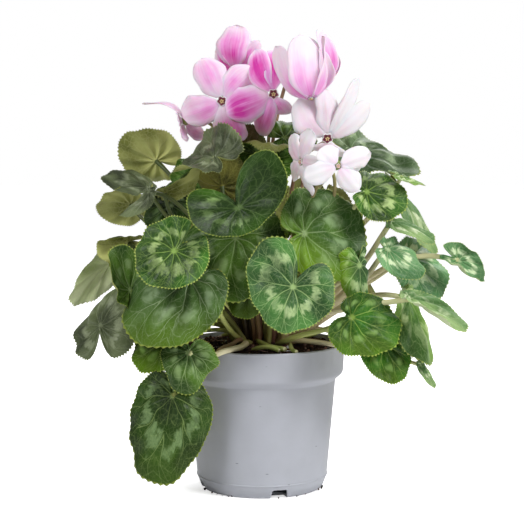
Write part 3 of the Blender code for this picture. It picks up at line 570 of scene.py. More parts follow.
leafShapes = {
    "fold_centre": leafShape(
        (-5, 28), 26, 18, 1.58, setBack=-0.42, sinus=20, cleft=0.86, along=30, across=-30, funnel=15,
        spiral=3, frill=1.4, top="folded", stalk="rosy", lopsided=0.16, marked=(-75, 95)),
    "heart_front": leafShape(
        (0, 22), -24, 30, setBack=-0.05, sinus=20, along=35, across=14, funnel=8, spiral=-4, frill=1.3,
        top="bluish", tuck=(0, 8, 0), lopsided=-0.17),
    "bright_left": leafShape(
        (-10, 30), -45, 28, 1.06, setBack=0.1, sinus=5.5, along=12, across=12, lobes=-15, spiral=-8,
        funnel=6, frill=1.3, top="bright", cleft=0.85,
        via=((-50, -75, 173), (-40.3, -67.5, 166.4), (-36.5, -67, 156), (-32, -68, 143),
             (-27, -62, 131), (-20, -42, 118), (-14, -22, 110))),
    "broad_left": leafShape(
        (-24, 35), -44, 56, 1.04, setBack=0.29, along=20, across=24, top="veined", glow=0.35, sinus=21),
    "broad_right": leafShape(
        (15, 20), 94, 46, 1.22, setBack=0.33, along=18, across=26, top="paintedSheen", glow=0.9,
        glowWay=(-0.8, -1), glowFrom=0.4),
    "broad_centre": leafShape(
        (-5, 25), -7, 43, setBack=0.14, along=30, across=30, top="paintedLightSoft", stalk="rosy"),
    "over_rim_right": leafShape(
        (10, 25), 72, 36, setBack=0.31, sinus=22, along=20, across=22, lobes=15, frill=1.4, top="vivid",
        cleft=0.85, glow=0.3, thick=1.45, lopsided=-0.32,
        via=((52, -73, 129), (43, -67, 124.2), (26.3, -52, 117.8), (16.5, -34, 111.5))),
    "over_rim_left": leafShape(
        (-10, 20), -10, 29, 1.12, setBack=0.3, along=34, across=30, lobes=-30, stalk="cream", taper=0.26,
        top="paintedLightSoft", thick=1.6,
        via=((-43, -67, 105), (-35, -61, 104.5), (-26, -57, 107.6), (-15, -47, 109), (-12, -32, 109))),
    "lowest": leafShape(
        (-8, 10), -12, 61, 0.84, setBack=0.34, sinus=30, along=14, across=34, roll=2, frill=1.1,
        top="streaked", stalk="rosy", taper=0.1, glow=0.1, wave=0.015,
        via=((-55, -57, 82), (-45, -50, 90.5), (-38, -52, 97), (-33, -53, 102), (-29.5, -52.8, 107.9),
             (-22, -44, 110), (-16, -31, 112))),
    "under_left": leafShape((-30, 30), -40, 30, along=20, top="broad", glow=0.4, frill=1.0),
    "under_centre": leafShape((-5, 15), -15, 24, along=20, top="deep", glow=0.3, stalk="rosy", frill=1.0),
    "sliver_centre": leafShape((20, 10), 178, 17, 0.6, top="fresh", glow=0.8, frill=1.0),
    "keel_right": leafShape(
        (28, 5), 6, 28, 0.95, along=20, across=118, top="bluish", glow=1.0, glowWay=(-1, 0), stalk="cream",
        glowFrom=0.3, frill=1.0),
    "cup_left": leafShape((30, 20), -170, 32, 0.8, along=-10, across=-70, top="paintedLightSoft", glow=0.3),
    "saddle_left": leafShape(
        (-35, 15), -168, 38, 0.9, setBack=0.15, along=60, across=25, twist=-35, frill=1.6, top="silver"),
    "far_left": leafShape((-150, 22), 48, 39, 0.55, along=25, top="silver", under="pale"),
    "folded_left": leafShape((-160, 40), 80, 23, across=60, twist=20, top="deep", stalk="paintedShade"),
    "shoulder_left": leafShape((175, 38), 82, 25, along=20, frill=2.0, stalk="paintedShade"),
    "twist_dark": leafShape(
        (-45, 20), -38, 27, 0.62, setBack=0.4, along=-15, across=40, twist=35, top="silver",
        stalk="paintedShade"),
    "twist_pale": leafShape(
        (180, 50), -122, 30, 0.6, along=-25, across=40, twist=15, frill=1.6, setBack=0.38, stalk="paintedShade"),
    "level_left": leafShape(
        (-20, 56), -116, 52, 0.4, setBack=0.44, along=20, across=25, twist=-20, frill=1.6, top="silver",
        stalk="paintedShade"),
    "olive_top": leafShape(
        (180, 30), 120, 30, setBack=0.2, sinus=12, along=-18, across=-18, frill=2.2, stalk="paintedShade"),
    "gap_left": leafShape((-10, 12), -20, 27, along=15, across=40, top="deep", stalk="paintedShade", frill=1.0),
    "silver_top": leafShape(
        (-30, 52), -112, 36, along=42, across=-45, twist=-15, frill=2.4, top="silver", tuck=(0, 22, 0),
        stalk="paintedShade"),
    "funnel_top": leafShape((180, 35), 175, 27, along=-20, across=-45, under="folded", stalk="paintedShade"),
    "dark_top": leafShape((-10, 45), 175, 27, along=20, top="broad", stalk="paintedShade"),
    "upright_top": leafShape((172, 8), 178, 25, 0.85, along=-10, across=30, under="dusky", stalk="paintedShade"),
    "curled_top": leafShape(
        (-5, 15), 176, 27, 1.05, along=-172, across=-15, frill=1.6, top="broad", under="dusky", setBack=0.2,
        stalk="paintedShade", via=((6, -17, 232), (5, -12, 215), (4, -8, 180), (3, -5, 140))),
    "small_top": leafShape((20, 40), 100, 26, 0.9, along=30, top="broad", under="pale", stalk="paintedShade"),
    "shield_right": leafShape(
        (25, 50), 66, 53, 0.8, setBack=0.32, along=4, across=6, frill=0.4, top="misted", stalk="cream",
        taper=0.4, wave=0.01, twist=-4),
    "bright_right": leafShape(
        (20, 30), 82, 31, setBack=0.32, along=20, across=24, lobes=-15, frill=1.4, top="bright",
        stalk="cream"),
    "tip_right": leafShape((60, 70), 60, 20, 0.7, along=10, top="fresh", stalk="cream", frill=1.0),
    "slanted_right": leafShape(
        (68, 35), 2, 50, 0.5, setBack=0.3, along=12, across=25, top="paintedSunlight", stalk="cream", thick=1.6),
    "speckled_right": leafShape(
        (30, 55), 64, 35, 0.5, setBack=0.42, along=25, across=20, frill=1.8, top="paintedSunlight", stalk="cream",
        thick=1.6, via=((83, -38, 185), (75, -31, 171), (64, -23, 156), (42, -12, 134))),
    "silver_right": leafShape(
        (20, 35), 55, 30, 0.8, along=24, across=25, spiral=3, frill=1.8, top="dappled", stalk="cream",
        setBack=0.36, sinus=20, thick=1.6,
        via=((81, -46, 170), (73, -39, 158), (58, -31, 144), (37, -20, 126))),
    "behind_right": leafShape(
        (35, 35), 46, 35, 1.12, setBack=0.3, along=22, across=20, frill=1.6, top="dappled", stalk="cream",
        thick=1.6, via=((95, -5, 162), (81, -1, 152), (64, 2, 141), (39, 2, 123))),
    "far_right": leafShape(
        (30, 25), 58, 25, 0.58, setBack=0.15, along=22, across=-75, frill=1.7, top="dappled", under="mint",
        stalk="cream", thick=1.6,
        via=((120, -16, 170), (99, -14, 167), (83, -12, 158), (65, -9, 146), (37, -6, 127))),
    "curled_right": leafShape(
        (40, 62), 36, 43, 0.42, setBack=0.4, along=20, across=-60, twist=15, frill=2.0, top="paintedSunlight",
        under="mint", stalk="cream", thick=1.6),
    "hanging_right": leafShape(
        (58, 20), 26, 50, setBack=0.42, along=18, across=45, twist=-15, frill=1.8, top="fresh",
        under="mint", stalk="cream", thick=1.6,
        via=((91, -43, 145), (78, -37, 144), (62, -29, 138), (38, -18, 121))),
    "low_right": leafShape(
        (20, 25), 18, 27, along=20, top="vivid", frill=1.4, glow=0.25, stalk="cream", thick=1.4,
        via=((70, -46, 109.5), (57, -39, 108.8), (42, -31, 109.6), (27, -22, 109.8))),
    "tail_right": leafShape(
        (35, 20), 30, 19, 0.4, setBack=0.4, along=10, top="paintedSunlight", stalk="cream", frill=1.0),
}
rearLeaves = {"count": 7, "from": 100, "to": 260, "rises": (30, 38), "lengths": (42, 48), "sway": 25}
for i in range(rearLeaves["count"]):
    azimuth = rearLeaves["from"] + (rearLeaves["to"] - rearLeaves["from"]) * (i + 0.5) / rearLeaves["count"]
    leafShapes[f"rear_{i + 1}"] = leafShape(
        (azimuth, rearLeaves["rises"][i % 2]), rearLeaves["sway"] * math.sin(2.4 * i),
        rearLeaves["lengths"][i % 2], along=22, across=18, phase=70 * i, frill=1.0,
        top=("marbled", "broad", "bright")[i % 3])

bladeGrid = {
    "columns": 144,
    "rows": (0, 0.1, 0.2, 0.3, 0.4, 0.5, 0.6, 0.69, 0.77, 0.84, 0.9, 0.945, 0.976, 1),
    "thickness": 0.45,
    "thinned": 0.55,  # share of it that is gone at the margin
    "hubRadius": 1.3,
    "hubLift": 0.5,  # the hub lies this far out from its stalk's end
    "tip": (0.04, 16),  # share by which the tip is drawn out, and over how many degrees
    "shoulder": (48, 26),  # where the shoulders draw in towards the tip, and over how many degrees
    "uneven": 0.022,
    "least": 0.13,  # the cleft ends this share of the blade's length from the hub
    "toothDepth": 0.95,
    "toothGap": -0.35,  # the margin between teeth, in tooth depths
    "toothed": (8, 30),  # degrees from the cleft where teeth start and where they are full
    "scallop": 0.012,  # share of the radius by which the margin bulges between ribs
    "quilt": 1.7,  # how far the blade swells between ribs, in millimetres
    "groove": (0.35, 1.1),  # depth and width of the grooves over the ribs
    "ruffle": 0.9,
    "swell": 0.5,
    "wobble": (5, 9),  # degrees by which a rib strays, and over how many millimetres
    "fullSize": (40, 34),  # shorter blades have less quilting, and smaller teeth
}
stalkShape = {
    "sides": 12,
    "places": (0, 0.06, 0.5, 1),  # from the blade down
    "radii": (1.45, 1.15, 1.25, 1.6),
    "rooted": np.array([0, 0, 0.8]),  # how far its foot goes into the corm
}


def ribTurns(angle, share):
    # how many rib spacings round from the midrib a point lies, whole numbers being the ribs
    around = np.abs(angle) / ribs["spacing"]
    return around + ribs["sweep"] * share ** 2 * np.minimum(around, 1)


def outlineRadius(s, angle, seed):
    # a circle set forward of the hub, drawn out to a blunt tip and notched behind the hub
    g, a, back = bladeGrid, np.radians(angle), s["setBack"]
    reach = back * np.cos(a) + np.sqrt((1 - back) ** 2 - (back * np.sin(a)) ** 2)
    reach = reach + g["tip"][0] * np.exp(-((angle / g["tip"][1]) ** 2))
    notch = 1 - s["cleft"] * np.exp(-(((180 - np.abs(angle)) / s["sinus"]) ** 2))
    # one back lobe may be larger than the other, and the shoulders draw in towards the tip
    reach = reach * (1 + s["lopsided"] * np.sin(a) * smoothstep(50, 140, np.abs(angle)))
    shoulder = (np.abs(angle) - g["shoulder"][0]) / g["shoulder"][1]
    reach = reach * (1 - s["taper"] * np.exp(-(shoulder ** 2)))
    draw = np.random.default_rng(900 + seed)
    uneven = sum(draw.normal() * np.cos(k * a + anyPhase(draw)) / k for k in (2, 3, 4, 5, 7)) * g["uneven"]
    bulges = g["scallop"] * np.cos(fullTurn * ribTurns(angle, 1.0))
    return s["length"] * np.maximum(reach * notch * (1 + uneven - bulges), g["least"])


def bent(distance, offset, curvature):
    # carries a distance and a height above it round an arc
    turn = distance * curvature
    straight = np.abs(curvature) < 1e-6
    safe = np.where(straight, 1.0, curvature)
    run = np.where(straight, distance, np.sin(turn) / safe + offset * np.sin(turn))
    rise = np.where(straight, offset, (np.cos(turn) - 1) / safe + offset * np.cos(turn))
    return run, rise


def bladeSurface(s, angle, reach, share, seed):
    # points of the curved blade as (towards the tip, to the side, up)
    draw = np.random.default_rng(seed)
    g, length = bladeGrid, s["length"]
    a = np.radians(angle)
    x, y = reach * np.cos(a), reach * np.sin(a)
    whole = np.hypot(x, y) / length
    lift = s["wave"] * length * whole ** 2 * np.cos(3 * a + math.radians(s["phase"]))
    # funnel lifts the margin all round, spiral parts the two back lobes, roll turns the margin down
    lift = lift + math.tan(math.radians(s["funnel"])) * reach * (1 - 0.35 * share)
    lift = lift + s["spiral"] * (angle / 180) ** 3 * whole - s["roll"] * smoothstep(0.6, 1.05, share)
    turned = ribTurns(angle, share)
    offRib = turned - np.round(turned)
    size = min(1.0, length / g["fullSize"][0])
    lift = lift - size * g["quilt"] * np.cos(fullTurn * offRib) * share * (1.25 - share) * 1.6
    away = np.abs(offRib) * math.radians(ribs["spacing"]) * reach
    groove = g["groove"][0] * np.exp(-((away / g["groove"][1]) ** 2))
    lift = lift - groove * smoothstep(0, 0.12, share) * (1 - share)
    for k in range(3, 15):
        strength = g["ruffle"] * s["frill"] * size * draw.normal() * 1.6 / k ** 0.7
        lift = lift + strength * np.cos(k * a + anyPhase(draw)) * share ** 4 * 0.6
    for k in range(6):
        wx, wy = draw.normal(size=2) * 0.16
        swell = g["swell"] * size * draw.normal() * np.sin(wx * x + wy * y + anyPhase(draw))
        lift = lift + swell * smoothstep(0, 0.3, share)
    halfWidth = length * (1 - s["setBack"]) * s["width"]
    side, height = bent(y * s["width"], lift, np.full_like(y, math.radians(s["across"]) / halfWidth))
    bend = np.where(x > 0, s["along"], s["lobes"])
    run, height = bent(x, height, np.radians(bend) / length)
    t = np.radians(s["twist"]) * x / length
    side, height = side * np.cos(t) - height * np.sin(t), side * np.sin(t) + height * np.cos(t)
    return np.stack([run, side, height], -1), x, y


def stalkCentres(node):
    # centres of the node's seven rings of corners, walked along its edges from the stalk's foot
    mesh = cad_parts[node].data
    raw = np.array([v.co for v in mesh.vertices], float) / mm
    keys, joined = {}, np.zeros(len(raw), int)
    for i, p in enumerate(np.round(raw, 2).tolist()):
        joined[i] = keys.setdefault(tuple(p), len(keys))
    points = np.array(list(keys))
    beside = [set() for _ in points]
    for edge in mesh.edges:
        a, b = joined[edge.vertices[0]], joined[edge.vertices[1]]
        if a != b:
            beside[a].add(b)
            beside[b].add(a)
    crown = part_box("corm")[1].z / mm + 0.3
    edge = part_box("corm")[1].x / mm
    ring = [i for i, p in enumerate(points) if abs(p[2] - crown) < 0.05 and math.hypot(p[0], p[1]) < edge]
    centres, seen = [], set()
    while len(centres) < 7:
        centres.append(points[ring].mean(0))
        seen.update(ring)
        ring = sorted({j for i in ring for j in beside[i]} - seen)
    return centres


def tucked(route, tuck):
    # pushes the middle of a stalk aside, more towards the blade than the foot
    return route + np.sin(math.pi * np.linspace(0, 1, len(route)) ** 0.65)[:, None] * np.array(tuck, float)


def stalkAttribute(rings, sides, top, foot, step, seed):
    # what a stalk's skin reads: how far up, how far round, and which stalk
    up, around = np.linspace(top, foot, rings), np.arange(sides) * step
    return np.stack([np.repeat(up, sides), np.tile(around, rings), np.full(rings * sides, seed)], -1)


def makeLeaf(name, s, seed):
    g, columns, count, sides = bladeGrid, bladeGrid["columns"], len(bladeGrid["rows"]), stalkShape["sides"]
    centres = stalkCentres("leaf_" + name)
    axes = facingFrame(s["face"], s["turn"])
    tip, normal = axes[0], axes[2]
    hub = centres[-1] + normal * g["hubLift"]
    angle = np.linspace(-180, 180, columns, endpoint=False)
    fromCleft = 180 - np.abs(angle)
    radius = outlineRadius(s, angle, seed)
    # every second column is a tooth, smaller on a small leaf and none inside the cleft
    tooth = np.where(np.arange(columns) % 2 == 0, 1.0, g["toothGap"]) * g["toothDepth"]
    tooth = tooth * smoothstep(*g["toothed"], fromCleft) * min(1, s["length"] / g["fullSize"][1])
    rows = np.array(g["rows"])[:, None]
    reach = g["hubRadius"] + (radius - g["hubRadius"]) * rows + tooth * smoothstep(0.93, 1, rows)
    share = reach / radius
    angles = np.broadcast_to(angle, reach.shape)
    local, x, y = bladeSurface(s, angles, reach, share, seed)
    placed = placeAt(hub, axes, local)
    # normals from the grid itself, joined round the back; the blade thins out at its margin
    around = (np.roll(placed, -1, 1) - np.roll(placed, 1, 1)) / 2
    up = unit(np.cross(np.gradient(placed, axis=0), around))
    half = g["thickness"] / 2 * (1 - g["thinned"] * smoothstep(0.9, 1, rows))[..., None]
    top, bottom = placed + up * half, placed - up * half
    block, last = count * columns, (count - 1) * columns
    hubTop, start = 2 * block, 2 * block + 1
    # a stalk keeps to its solid's line, or sags over the rim through a few points of its own
    line = [hub, *np.array(s["via"], float), centres[0]] if s["via"] else centres[::-1]
    route = smoothRoute(line, 5)
    foot = centres[0] - stalkShape["rooted"]
    route = tucked(np.array([bottom[0].mean(0) - normal * 0.5, *route[1:-1], foot]), s["tuck"])
    radii = np.interp(np.linspace(0, 1, len(route)), stalkShape["places"], stalkShape["radii"]) * s["thick"]
    # the tube starts on the same bearing as the blade's first column, so its faces meet the blade's in order
    tube = tubeRings(route, radii, sides, -tip)
    points = [*top.reshape(-1, 3), *bottom.reshape(-1, 3), top[0].mean(0) - normal * 0.15]
    points += list(tube.reshape(-1, 3))
    every, end = columns // sides, len(points) - sides
    fans = [[block + (k * every + c) % columns for c in range(every, -1, -1)] for k in range(sides)]
    parts = (
        (gridFaces(count, columns), 0),
        (gridFaces(count, columns, block, flip=True), 1),
        (bridge(last, block + last, columns), 0),
        # the hub is closed on top, and the stalk grows out of the underside
        ([(hubTop, c, (c + 1) % columns) for c in range(columns)], 0),
        ([(*fan, start + k, start + (k + 1) % sides) for k, fan in enumerate(fans)], 1),
        (gridFaces(len(route), sides, start), 2),
        ([tuple(range(end, end + sides))[::-1]], 2),
    )
    faces = [face for part, _ in parts for face in part]
    slots = [slot for part, slot in parts for _ in part]
    # what the materials read; ribs aren't quite evenly spread
    total = len(points)
    polar, flat, along = np.zeros((3, total, 3))
    glow, marked = np.zeros(total), np.ones(total)
    stray, over = g["wobble"]
    wobble = stray * np.sin(reach / over + seed) * share * smoothstep(0, 60, fromCleft)
    rib = np.abs(angles + wobble) / ribs["spacing"]
    polar[:hubTop] = np.tile(np.stack([rib, np.clip(share, 0, 1), reach], -1).reshape(-1, 3), (2, 1))
    flat[:hubTop] = np.tile(np.stack([x, y, 0 * x], -1).reshape(-1, 3), (2, 1))
    flat[:start, 2] = seed * 37.0
    # painted light coming through the blade: the top is painted more yellow-green towards glowWay
    down = placed @ np.array([s["glowWay"][0], 0, s["glowWay"][1]], float)
    spread = smoothstep(down.min() + s["glowFrom"] * np.ptp(down), down.max(), down)
    glow[:block] = (spread * s["glow"]).ravel()
    off = np.abs((angles - s["marked"][0] + 180) % 360 - 180)
    marked[:block] = (1 - smoothstep(0.6, 1.1, off / s["marked"][1])).ravel()
    along[start:] = stalkAttribute(len(route), sides, 1, 0, 1 / 2, seed * 3.7)
    skins = [topMaterials[s["top"]], underMaterials[s["under"]], stalkMaterials[s["stalk"]]]
    read = {"polar": polar, "flat": flat, "glow": glow, "along": along, "marked": marked}
    settle(addPiece(name + "_leaf", points, faces, skins, read, slots), "leaf_blade", "leaf_" + name)


for number, (name, shape) in enumerate(leafShapes.items()):
    makeLeaf(name, shape, number + 1)
print("leaves", len(leafShapes))

# each look from where the blush is thinnest to where it is full
petalLooks = {
    "pink": ("#f0dcea", "#ea9ad6", "#d432a6"),
    "white": ("#ece6ea", "#ecd0e1", "#dc8fc0"),
}


def petalSkin(name, tones):
    # thin petal with a satin of tiny cells, too fine to show but as a sheen: the blush lies in soft streaks,
    # and the veins, a quarter of a millimetre apart, are drawn at half a millimetre
    material, tree = newMaterial(name + "Petal", {
        "IOR": 1.38, "Sheen Weight": 0.12, "Sheen Roughness": 0.4, "Subsurface Weight": 0.2,
        "Subsurface Scale": 0.002})
    petal = addNode(tree, "Attribute", attribute_name="petal")["Vector"]
    axes = addNode(tree, "SeparateXYZ", (petal,))
    at = {"blush": addNode(tree, "Attribute", attribute_name="blush")["Fac"]}
    for key, wide, long in (("streak", 8.0, 0.8), ("line", 24.0, 1.4), ("cloud", 1.3, 2.6)):
        at[key] = streaked(tree, axes, (wide, long, 1))
    addChain(tree, at, (
        ("drift", "+", ("*+", "streak", 0.85, -0.425), ("*+", "cloud", 1.1, -0.55)),
        ("lined", "+", "drift", ("*+", "line", 0.3, -0.15)),
        # a petal with little blush is less streaked
        ("amount", "+", "blush", ("*", "lined", ("*+", "blush", 0.8, 0.25))),
    ))
    tone = addNode(tree, "ValToRGB", (at["amount"],), stops=list(zip((0.02, 0.42, 0.95), tones)))[0]
    return dressSkin(material, tone, at["line"], 0.12, 0.35, (at["line"], 0.48, 0.62))


# anthers, then the throat from its middle to its star-shaped edge
eyeLooks = {
    "maroon": ("#e9cf96", "#c58f5e", "#5a1f2a", "#7d2a48", "#c95a9e"),
    "rosy": ("#e8d9b0", "#e2b0a8", "#d887ac", "#dd93bb", "#eec4dc"),
}


def eyeSkin(name, tones):
    # throat of the flower: velvet of tiny hairs, far finer than the 0.7 mm that they are drawn at to show
    material, tree = newMaterial(name + "Eye", {"IOR": 1.4, "Sheen Weight": 0.3, "Roughness": 0.6})
    at = {"tint": addNode(tree, "Attribute", attribute_name="tint")["Fac"]}
    place = addNode(tree, "TexCoord")["Object"]
    at["grain"] = addNode(tree, "TexNoise", {"Vector": place, "Scale": 1400.0})["Fac"]
    addChain(tree, at, (("shifted", "-", ("*+", "grain", 0.24, "tint"), 0.12),))
    stops = list(zip((0.0, 0.25, 0.42, 0.8, 1.0), tones))
    tone = addNode(tree, "ValToRGB", (at["shifted"],), stops=stops)[0]
    return dressSkin(material, tone, at["grain"], 0.1, 0.5)


petalMaterials = {name: petalSkin(name, tones) for name, tones in petalLooks.items()}
eyeMaterials = {name: eyeSkin(name, tones) for name, tones in eyeLooks.items()}


def flowerShape(face, roll, length, width=0.62, reflex=(80, 100), twist=10, swept=(0,) * 5, fan=(0,) * 5,
                wide=(1,) * 5, long=(1,) * 5, kind="pink", blush=(0.5,) * 5, blushAt=(0.45,) * 5, spread=0.42,
                eye=1.0, eyeKind="maroon", tuck=(0, 0, 0), hook=()):
    # face is azimuth and rise of the mouth, reflex the angle from its axis where petals leave and end;
    # swept, fan, wide and long change one petal's end angle, bearing, width and length; blush is how strong
    # a petal's colour is, blushAt how far along it is strongest; hook is where a stalk first rises and turns
    return locals()


flowerShapes = {
    "centre": flowerShape(
        (0, -20), -4, 35, 0.72, (80, 108), swept=(10, 30, 55, 45, -10), fan=(-13, -42, 38, 4, 9),
        wide=(0.6, 0.6, 0.62, 0.72, 1.04), long=(1.0, 0.62, 1.0, 1.0, 0.96),
        blush=(0.6, 0.45, 0.95, 1.0, 0.9), blushAt=(0.4, 0.4, 0.5, 0.5, 0.72), spread=0.55),
    "left": flowerShape(
        (-10, -15), 12, 30, 0.78, (80, 105), swept=(0, 30, 10, 0, 0), fan=(0, 0, -20, -25, -4),
        blush=(0.72, 0.42, 0.38, 0.36, 0.42), blushAt=(0.7, 0.5, 0.4, 0.6, 0.35)),
    "far_left": flowerShape(
        (-110, -10), 20, 29, 0.42, (75, 105), swept=(0, 10, -100, 40, 20),
        long=(0.45, 0.45, 1.15, 0.8, 0.7), blush=(0.3, 0.3, 0.2, 0.3, 0.3)),
    "top_left": flowerShape(
        (-30, -50), 0, 31, 0.74, (98, 160), twist=8, fan=(20, 58, 36, 40, 35),
        blush=(0.85, 0.6, 0.75, 1.0, 0.85), wide=(0.9, 0.5, 1.12, 1.0, 0.9),
        long=(0.9, 0.82, 1.0, 0.74, 0.9), swept=(0, 0, 0, -20, 0), blushAt=(0.3, 0.3, 0.35, 0.3, 0.3)),
    "pale_centre": flowerShape(
        (25, -66), -1, 45, 0.5, (122, 176), twist=34, blush=(0.6, 0.5, 0.52, 0.5, 0.6), blushAt=(0.08,) * 5,
        spread=0.4, tuck=(0, 20, 0), eye=0.6),
    "top_right": flowerShape(
        (30, -60), 10, 41, 0.6, (128, 180), twist=20, fan=(0, 0, 12, 20, 0),
        blush=(0.8, 0.8, 0.7, 0.7, 0.7), blushAt=(0.1, 0.1, 0.2, 0.2, 0.2), eye=0.6,
        wide=(0.9, 0.8, 0.8, 0.9, 0.8), spread=0.5, long=(1, 0.88, 1, 1, 1)),
    "white_right": flowerShape(
        (5, -20), 0, 34, 0.7, (86, 118), twist=22, swept=(52, 6, 6, 4, 10), fan=(0, 50, 6, -36, -66),
        wide=(1.25, 0.75, 0.5, 0.75, 1.15), long=(0.75, 1.1, 1.35, 0.95, 0.95), kind="white",
        blush=(0.35, 0.2, 0.1, 0.3, 0.4), blushAt=(0.1, 0.1, 0.1, 0.3, 0.3),
        hook=((15, 14, 21), (21, 12, 8))),
    "white_small": flowerShape(
        (10, -8), 39, 21, 0.74, (80, 98), swept=(0, 0, 20, 6, 40), fan=(0, 3, 42, 34, 113),
        long=(1.0, 1.05, 0.72, 1.08, 1.0), kind="white", blush=(0.4, 0.25, 0.3, 0.25, 0.3),
        blushAt=(0.0, 0.0, 0.1, 0.0, 0.0), eye=0.55, eyeKind="rosy"),
    "white_side": flowerShape(
        (-60, -5), 10, 20, 0.7, (80, 110), kind="white", long=(1.1, 1, 1.15, 1.1, 1),
        blush=(0.2, 0.4, 0.4, 0.45, 0.3), blushAt=(0.2,) * 5, eye=0.7, eyeKind="rosy"),
}
petalGrid = {
    "along": 20,
    "across": 15,
    "thickness": 0.4,
    "steps": 24,
    "mouth": 3.2,  # radius of the ring that the petals leave
    "mouthOut": 7,  # the mouth lies this far out from its stalk's end
    "cup": 0.12,
    "ruffle": 1.0,
    "clawShare": 0.24,  # width of the narrow foot of a petal, as a share of its widest part
}
calyx = {
    "sides": 20,
    "back": (0.6, 2.2, 4.2, 5.8),  # how far behind the mouth its rings lie
    "radii": (3.3, 3.1, 2.7, 2.1, 1.4),
    "lobe": 0.16,
    "lobed": (1.0, 0.8, 0.5, 0.2),
    "stalkRadii": (1.15, 1.55),
}
eyeShape = {
    "spokes": 40,
    "circles": 7,
    "radius": 3.5,
    "star": 0.14,
    "depth": 0.7,
    "rodSides": 8,
    "anther": (0.25, 0.5, 0.5, 0.38, 0.12),  # radii along it
    "style": (0.2, 0.2, 0.18, 0.18, 0.22),
}


def petalSurface(s, number, share, across, draw):
    # points of one petal in the mouth's own frame: out from the axis, sideways, and forward along the axis
    g = petalGrid
    start, end = s["reflex"][0], s["reflex"][1] + s["swept"][number]
    steps = g["steps"]
    k = (np.arange(steps)[:, None] + 0.5) / steps * share.ravel()[None]
    a = np.radians(start + (end - start) * np.minimum(1, k * 1.6))
    length = s["length"] * s["long"][number]
    run = share.ravel() * length / steps
    out = g["mouth"] * s["eye"] ** 0.7 + (np.sin(a) * run).sum(0).reshape(share.shape)
    forward = (np.cos(a) * run).sum(0).reshape(share.shape)
    a = np.radians(start + (end - start) * np.minimum(1, share * 1.6))
    # broad rounded outline past the middle, narrowing to a claw at the mouth
    bulk = np.clip(1 - np.abs(2 * share ** 1.18 - 1) ** 2.25, 0, 1) ** 0.5
    half = s["length"] * s["width"] * s["wide"][number] / 2
    half = half * np.maximum(bulk, g["clawShare"] * (1 - share) ** 1.5)
    wavy = 0.05 * np.sin(8 * share + anyPhase(draw)) * across
    half = half * (1 + wavy + 0.04 * np.sin(14 * share + anyPhase(draw)))
    sway = draw.normal() * 0.06 * length * share ** 2
    wave = sum(draw.normal() * np.sin(k * share * 5.0 + anyPhase(draw)) for k in (1, 2, 3)) * 0.5
    ripple = g["ruffle"] * across ** 2 * wave * share
    twist = np.radians(s["twist"] + draw.normal() * 6) * share
    cup = -g["cup"] * half * across ** 2 * (1.0 + 0.6 * draw.normal()) + ripple
    cup = cup + 0.25 * np.cos(9 * across) * np.sin(math.pi * share)
    sideways = across * half * np.cos(twist) + sway
    lifted = across * half * np.sin(twist) + cup
    out = out - np.cos(a) * lifted
    forward = forward + np.sin(a) * lifted
    turn = math.radians(72 * number + s["roll"] + s["fan"][number])
    c, d = math.cos(turn), math.sin(turn)
    return np.stack([out * c - sideways * d, out * d + sideways * c, forward], -1)


def thinSheet(surface, thickness):
    # a closed thin solid over an open grid of points, thinnest round its edge
    rows, columns = surface.shape[:2]
    up = unit(np.cross(np.gradient(surface, axis=0), np.gradient(surface, axis=1)))
    half = np.full((rows, columns, 1), 0.3)
    half[1:-1, 1:-1] = 1.0
    half = half * thickness / 2
    points = [*(surface + up * half).reshape(-1, 3), *(surface - up * half).reshape(-1, 3)]
    block = rows * columns
    faces = gridFaces(rows, columns, wrap=False) + gridFaces(rows, columns, block, wrap=False, flip=True)
    edge = [*range(columns), *range(2 * columns - 1, block, columns),
            *range(block - 2, block - columns - 1, -1), *range(block - 2 * columns, 0, -columns)]
    rim = [(a, b, b + block, a + block) for a, b in zip(edge, edge[1:] + edge[:1])]
    return points, faces + rim


def makePetals(s, seed, mouth, axes):
    draw = np.random.default_rng(700 + seed)
    g = petalGrid
    across, share = np.meshgrid(np.linspace(-1, 1, g["across"]), np.linspace(0, 1, g["along"]) ** 0.9)
    points, faces, petal, blush = [], [], [], []
    for number in range(5):
        placed = placeAt(mouth, axes, petalSurface(s, number, share, across, draw))
        joinMore(points, faces, *thinSheet(placed, g["thickness"]))
        petal += [*np.stack([across, share, np.full_like(share, seed * 5 + number)], -1).reshape(-1, 3)] * 2
        tint = s["blush"][number] * np.exp(-(((share - s["blushAt"][number]) / s["spread"]) ** 2))
        # the colour stops short of a pale rim
        rim = (1 - 0.95 * np.abs(across) ** 2.1) * (1 - 0.8 * smoothstep(0.78, 1, share))
        blush += [*(tint * rim).ravel()] * 2
    return points, faces, [petalMaterials[s["kind"]]], {"petal": petal, "blush": blush}


def makeFlowerStalk(s, seed, mouth, axes, centres):
    # a tube that widens into five blunt lobes behind the petals
    tip, normal = axes[0], axes[2]
    g, sides = calyx, calyx["sides"]
    # some stalks rise behind the petals and hook over before they come down
    hooked = [mouth - normal * g["back"][-1] + np.array(step, float) for step in s["hook"]]
    route = smoothRoute([centres[6], *hooked, *centres[4::-1]] if hooked else centres[::-1], 6)
    route = [*[mouth - normal * back for back in g["back"]], *route[1:-1], centres[0] - stalkShape["rooted"]]
    route = np.array(route)
    route[4:] = tucked(route[4:], s["tuck"])
    count = len(route)
    lobes = 1 + g["lobe"] * np.cos(5 * allRound(sides) + math.radians(5 * s["roll"]))
    radii = [*g["radii"], *np.interp(range(5, count), (5, count - 1), g["stalkRadii"])]
    tube = tubeRings(route, radii, sides, tip)
    for k, strength in enumerate(g["lobed"]):
        tube[k] = route[k] + (tube[k] - route[k]) * (1 + (lobes - 1) * strength)[:, None]
    points = tube.reshape(-1, 3)
    faces = outward(points, closedGrid(count, sides))
    along = stalkAttribute(count, sides, 1, 0, 1 / 3, seed * 2.9)
    return points, faces, [stalkMaterials["rosyFlower"]], {"along": along}


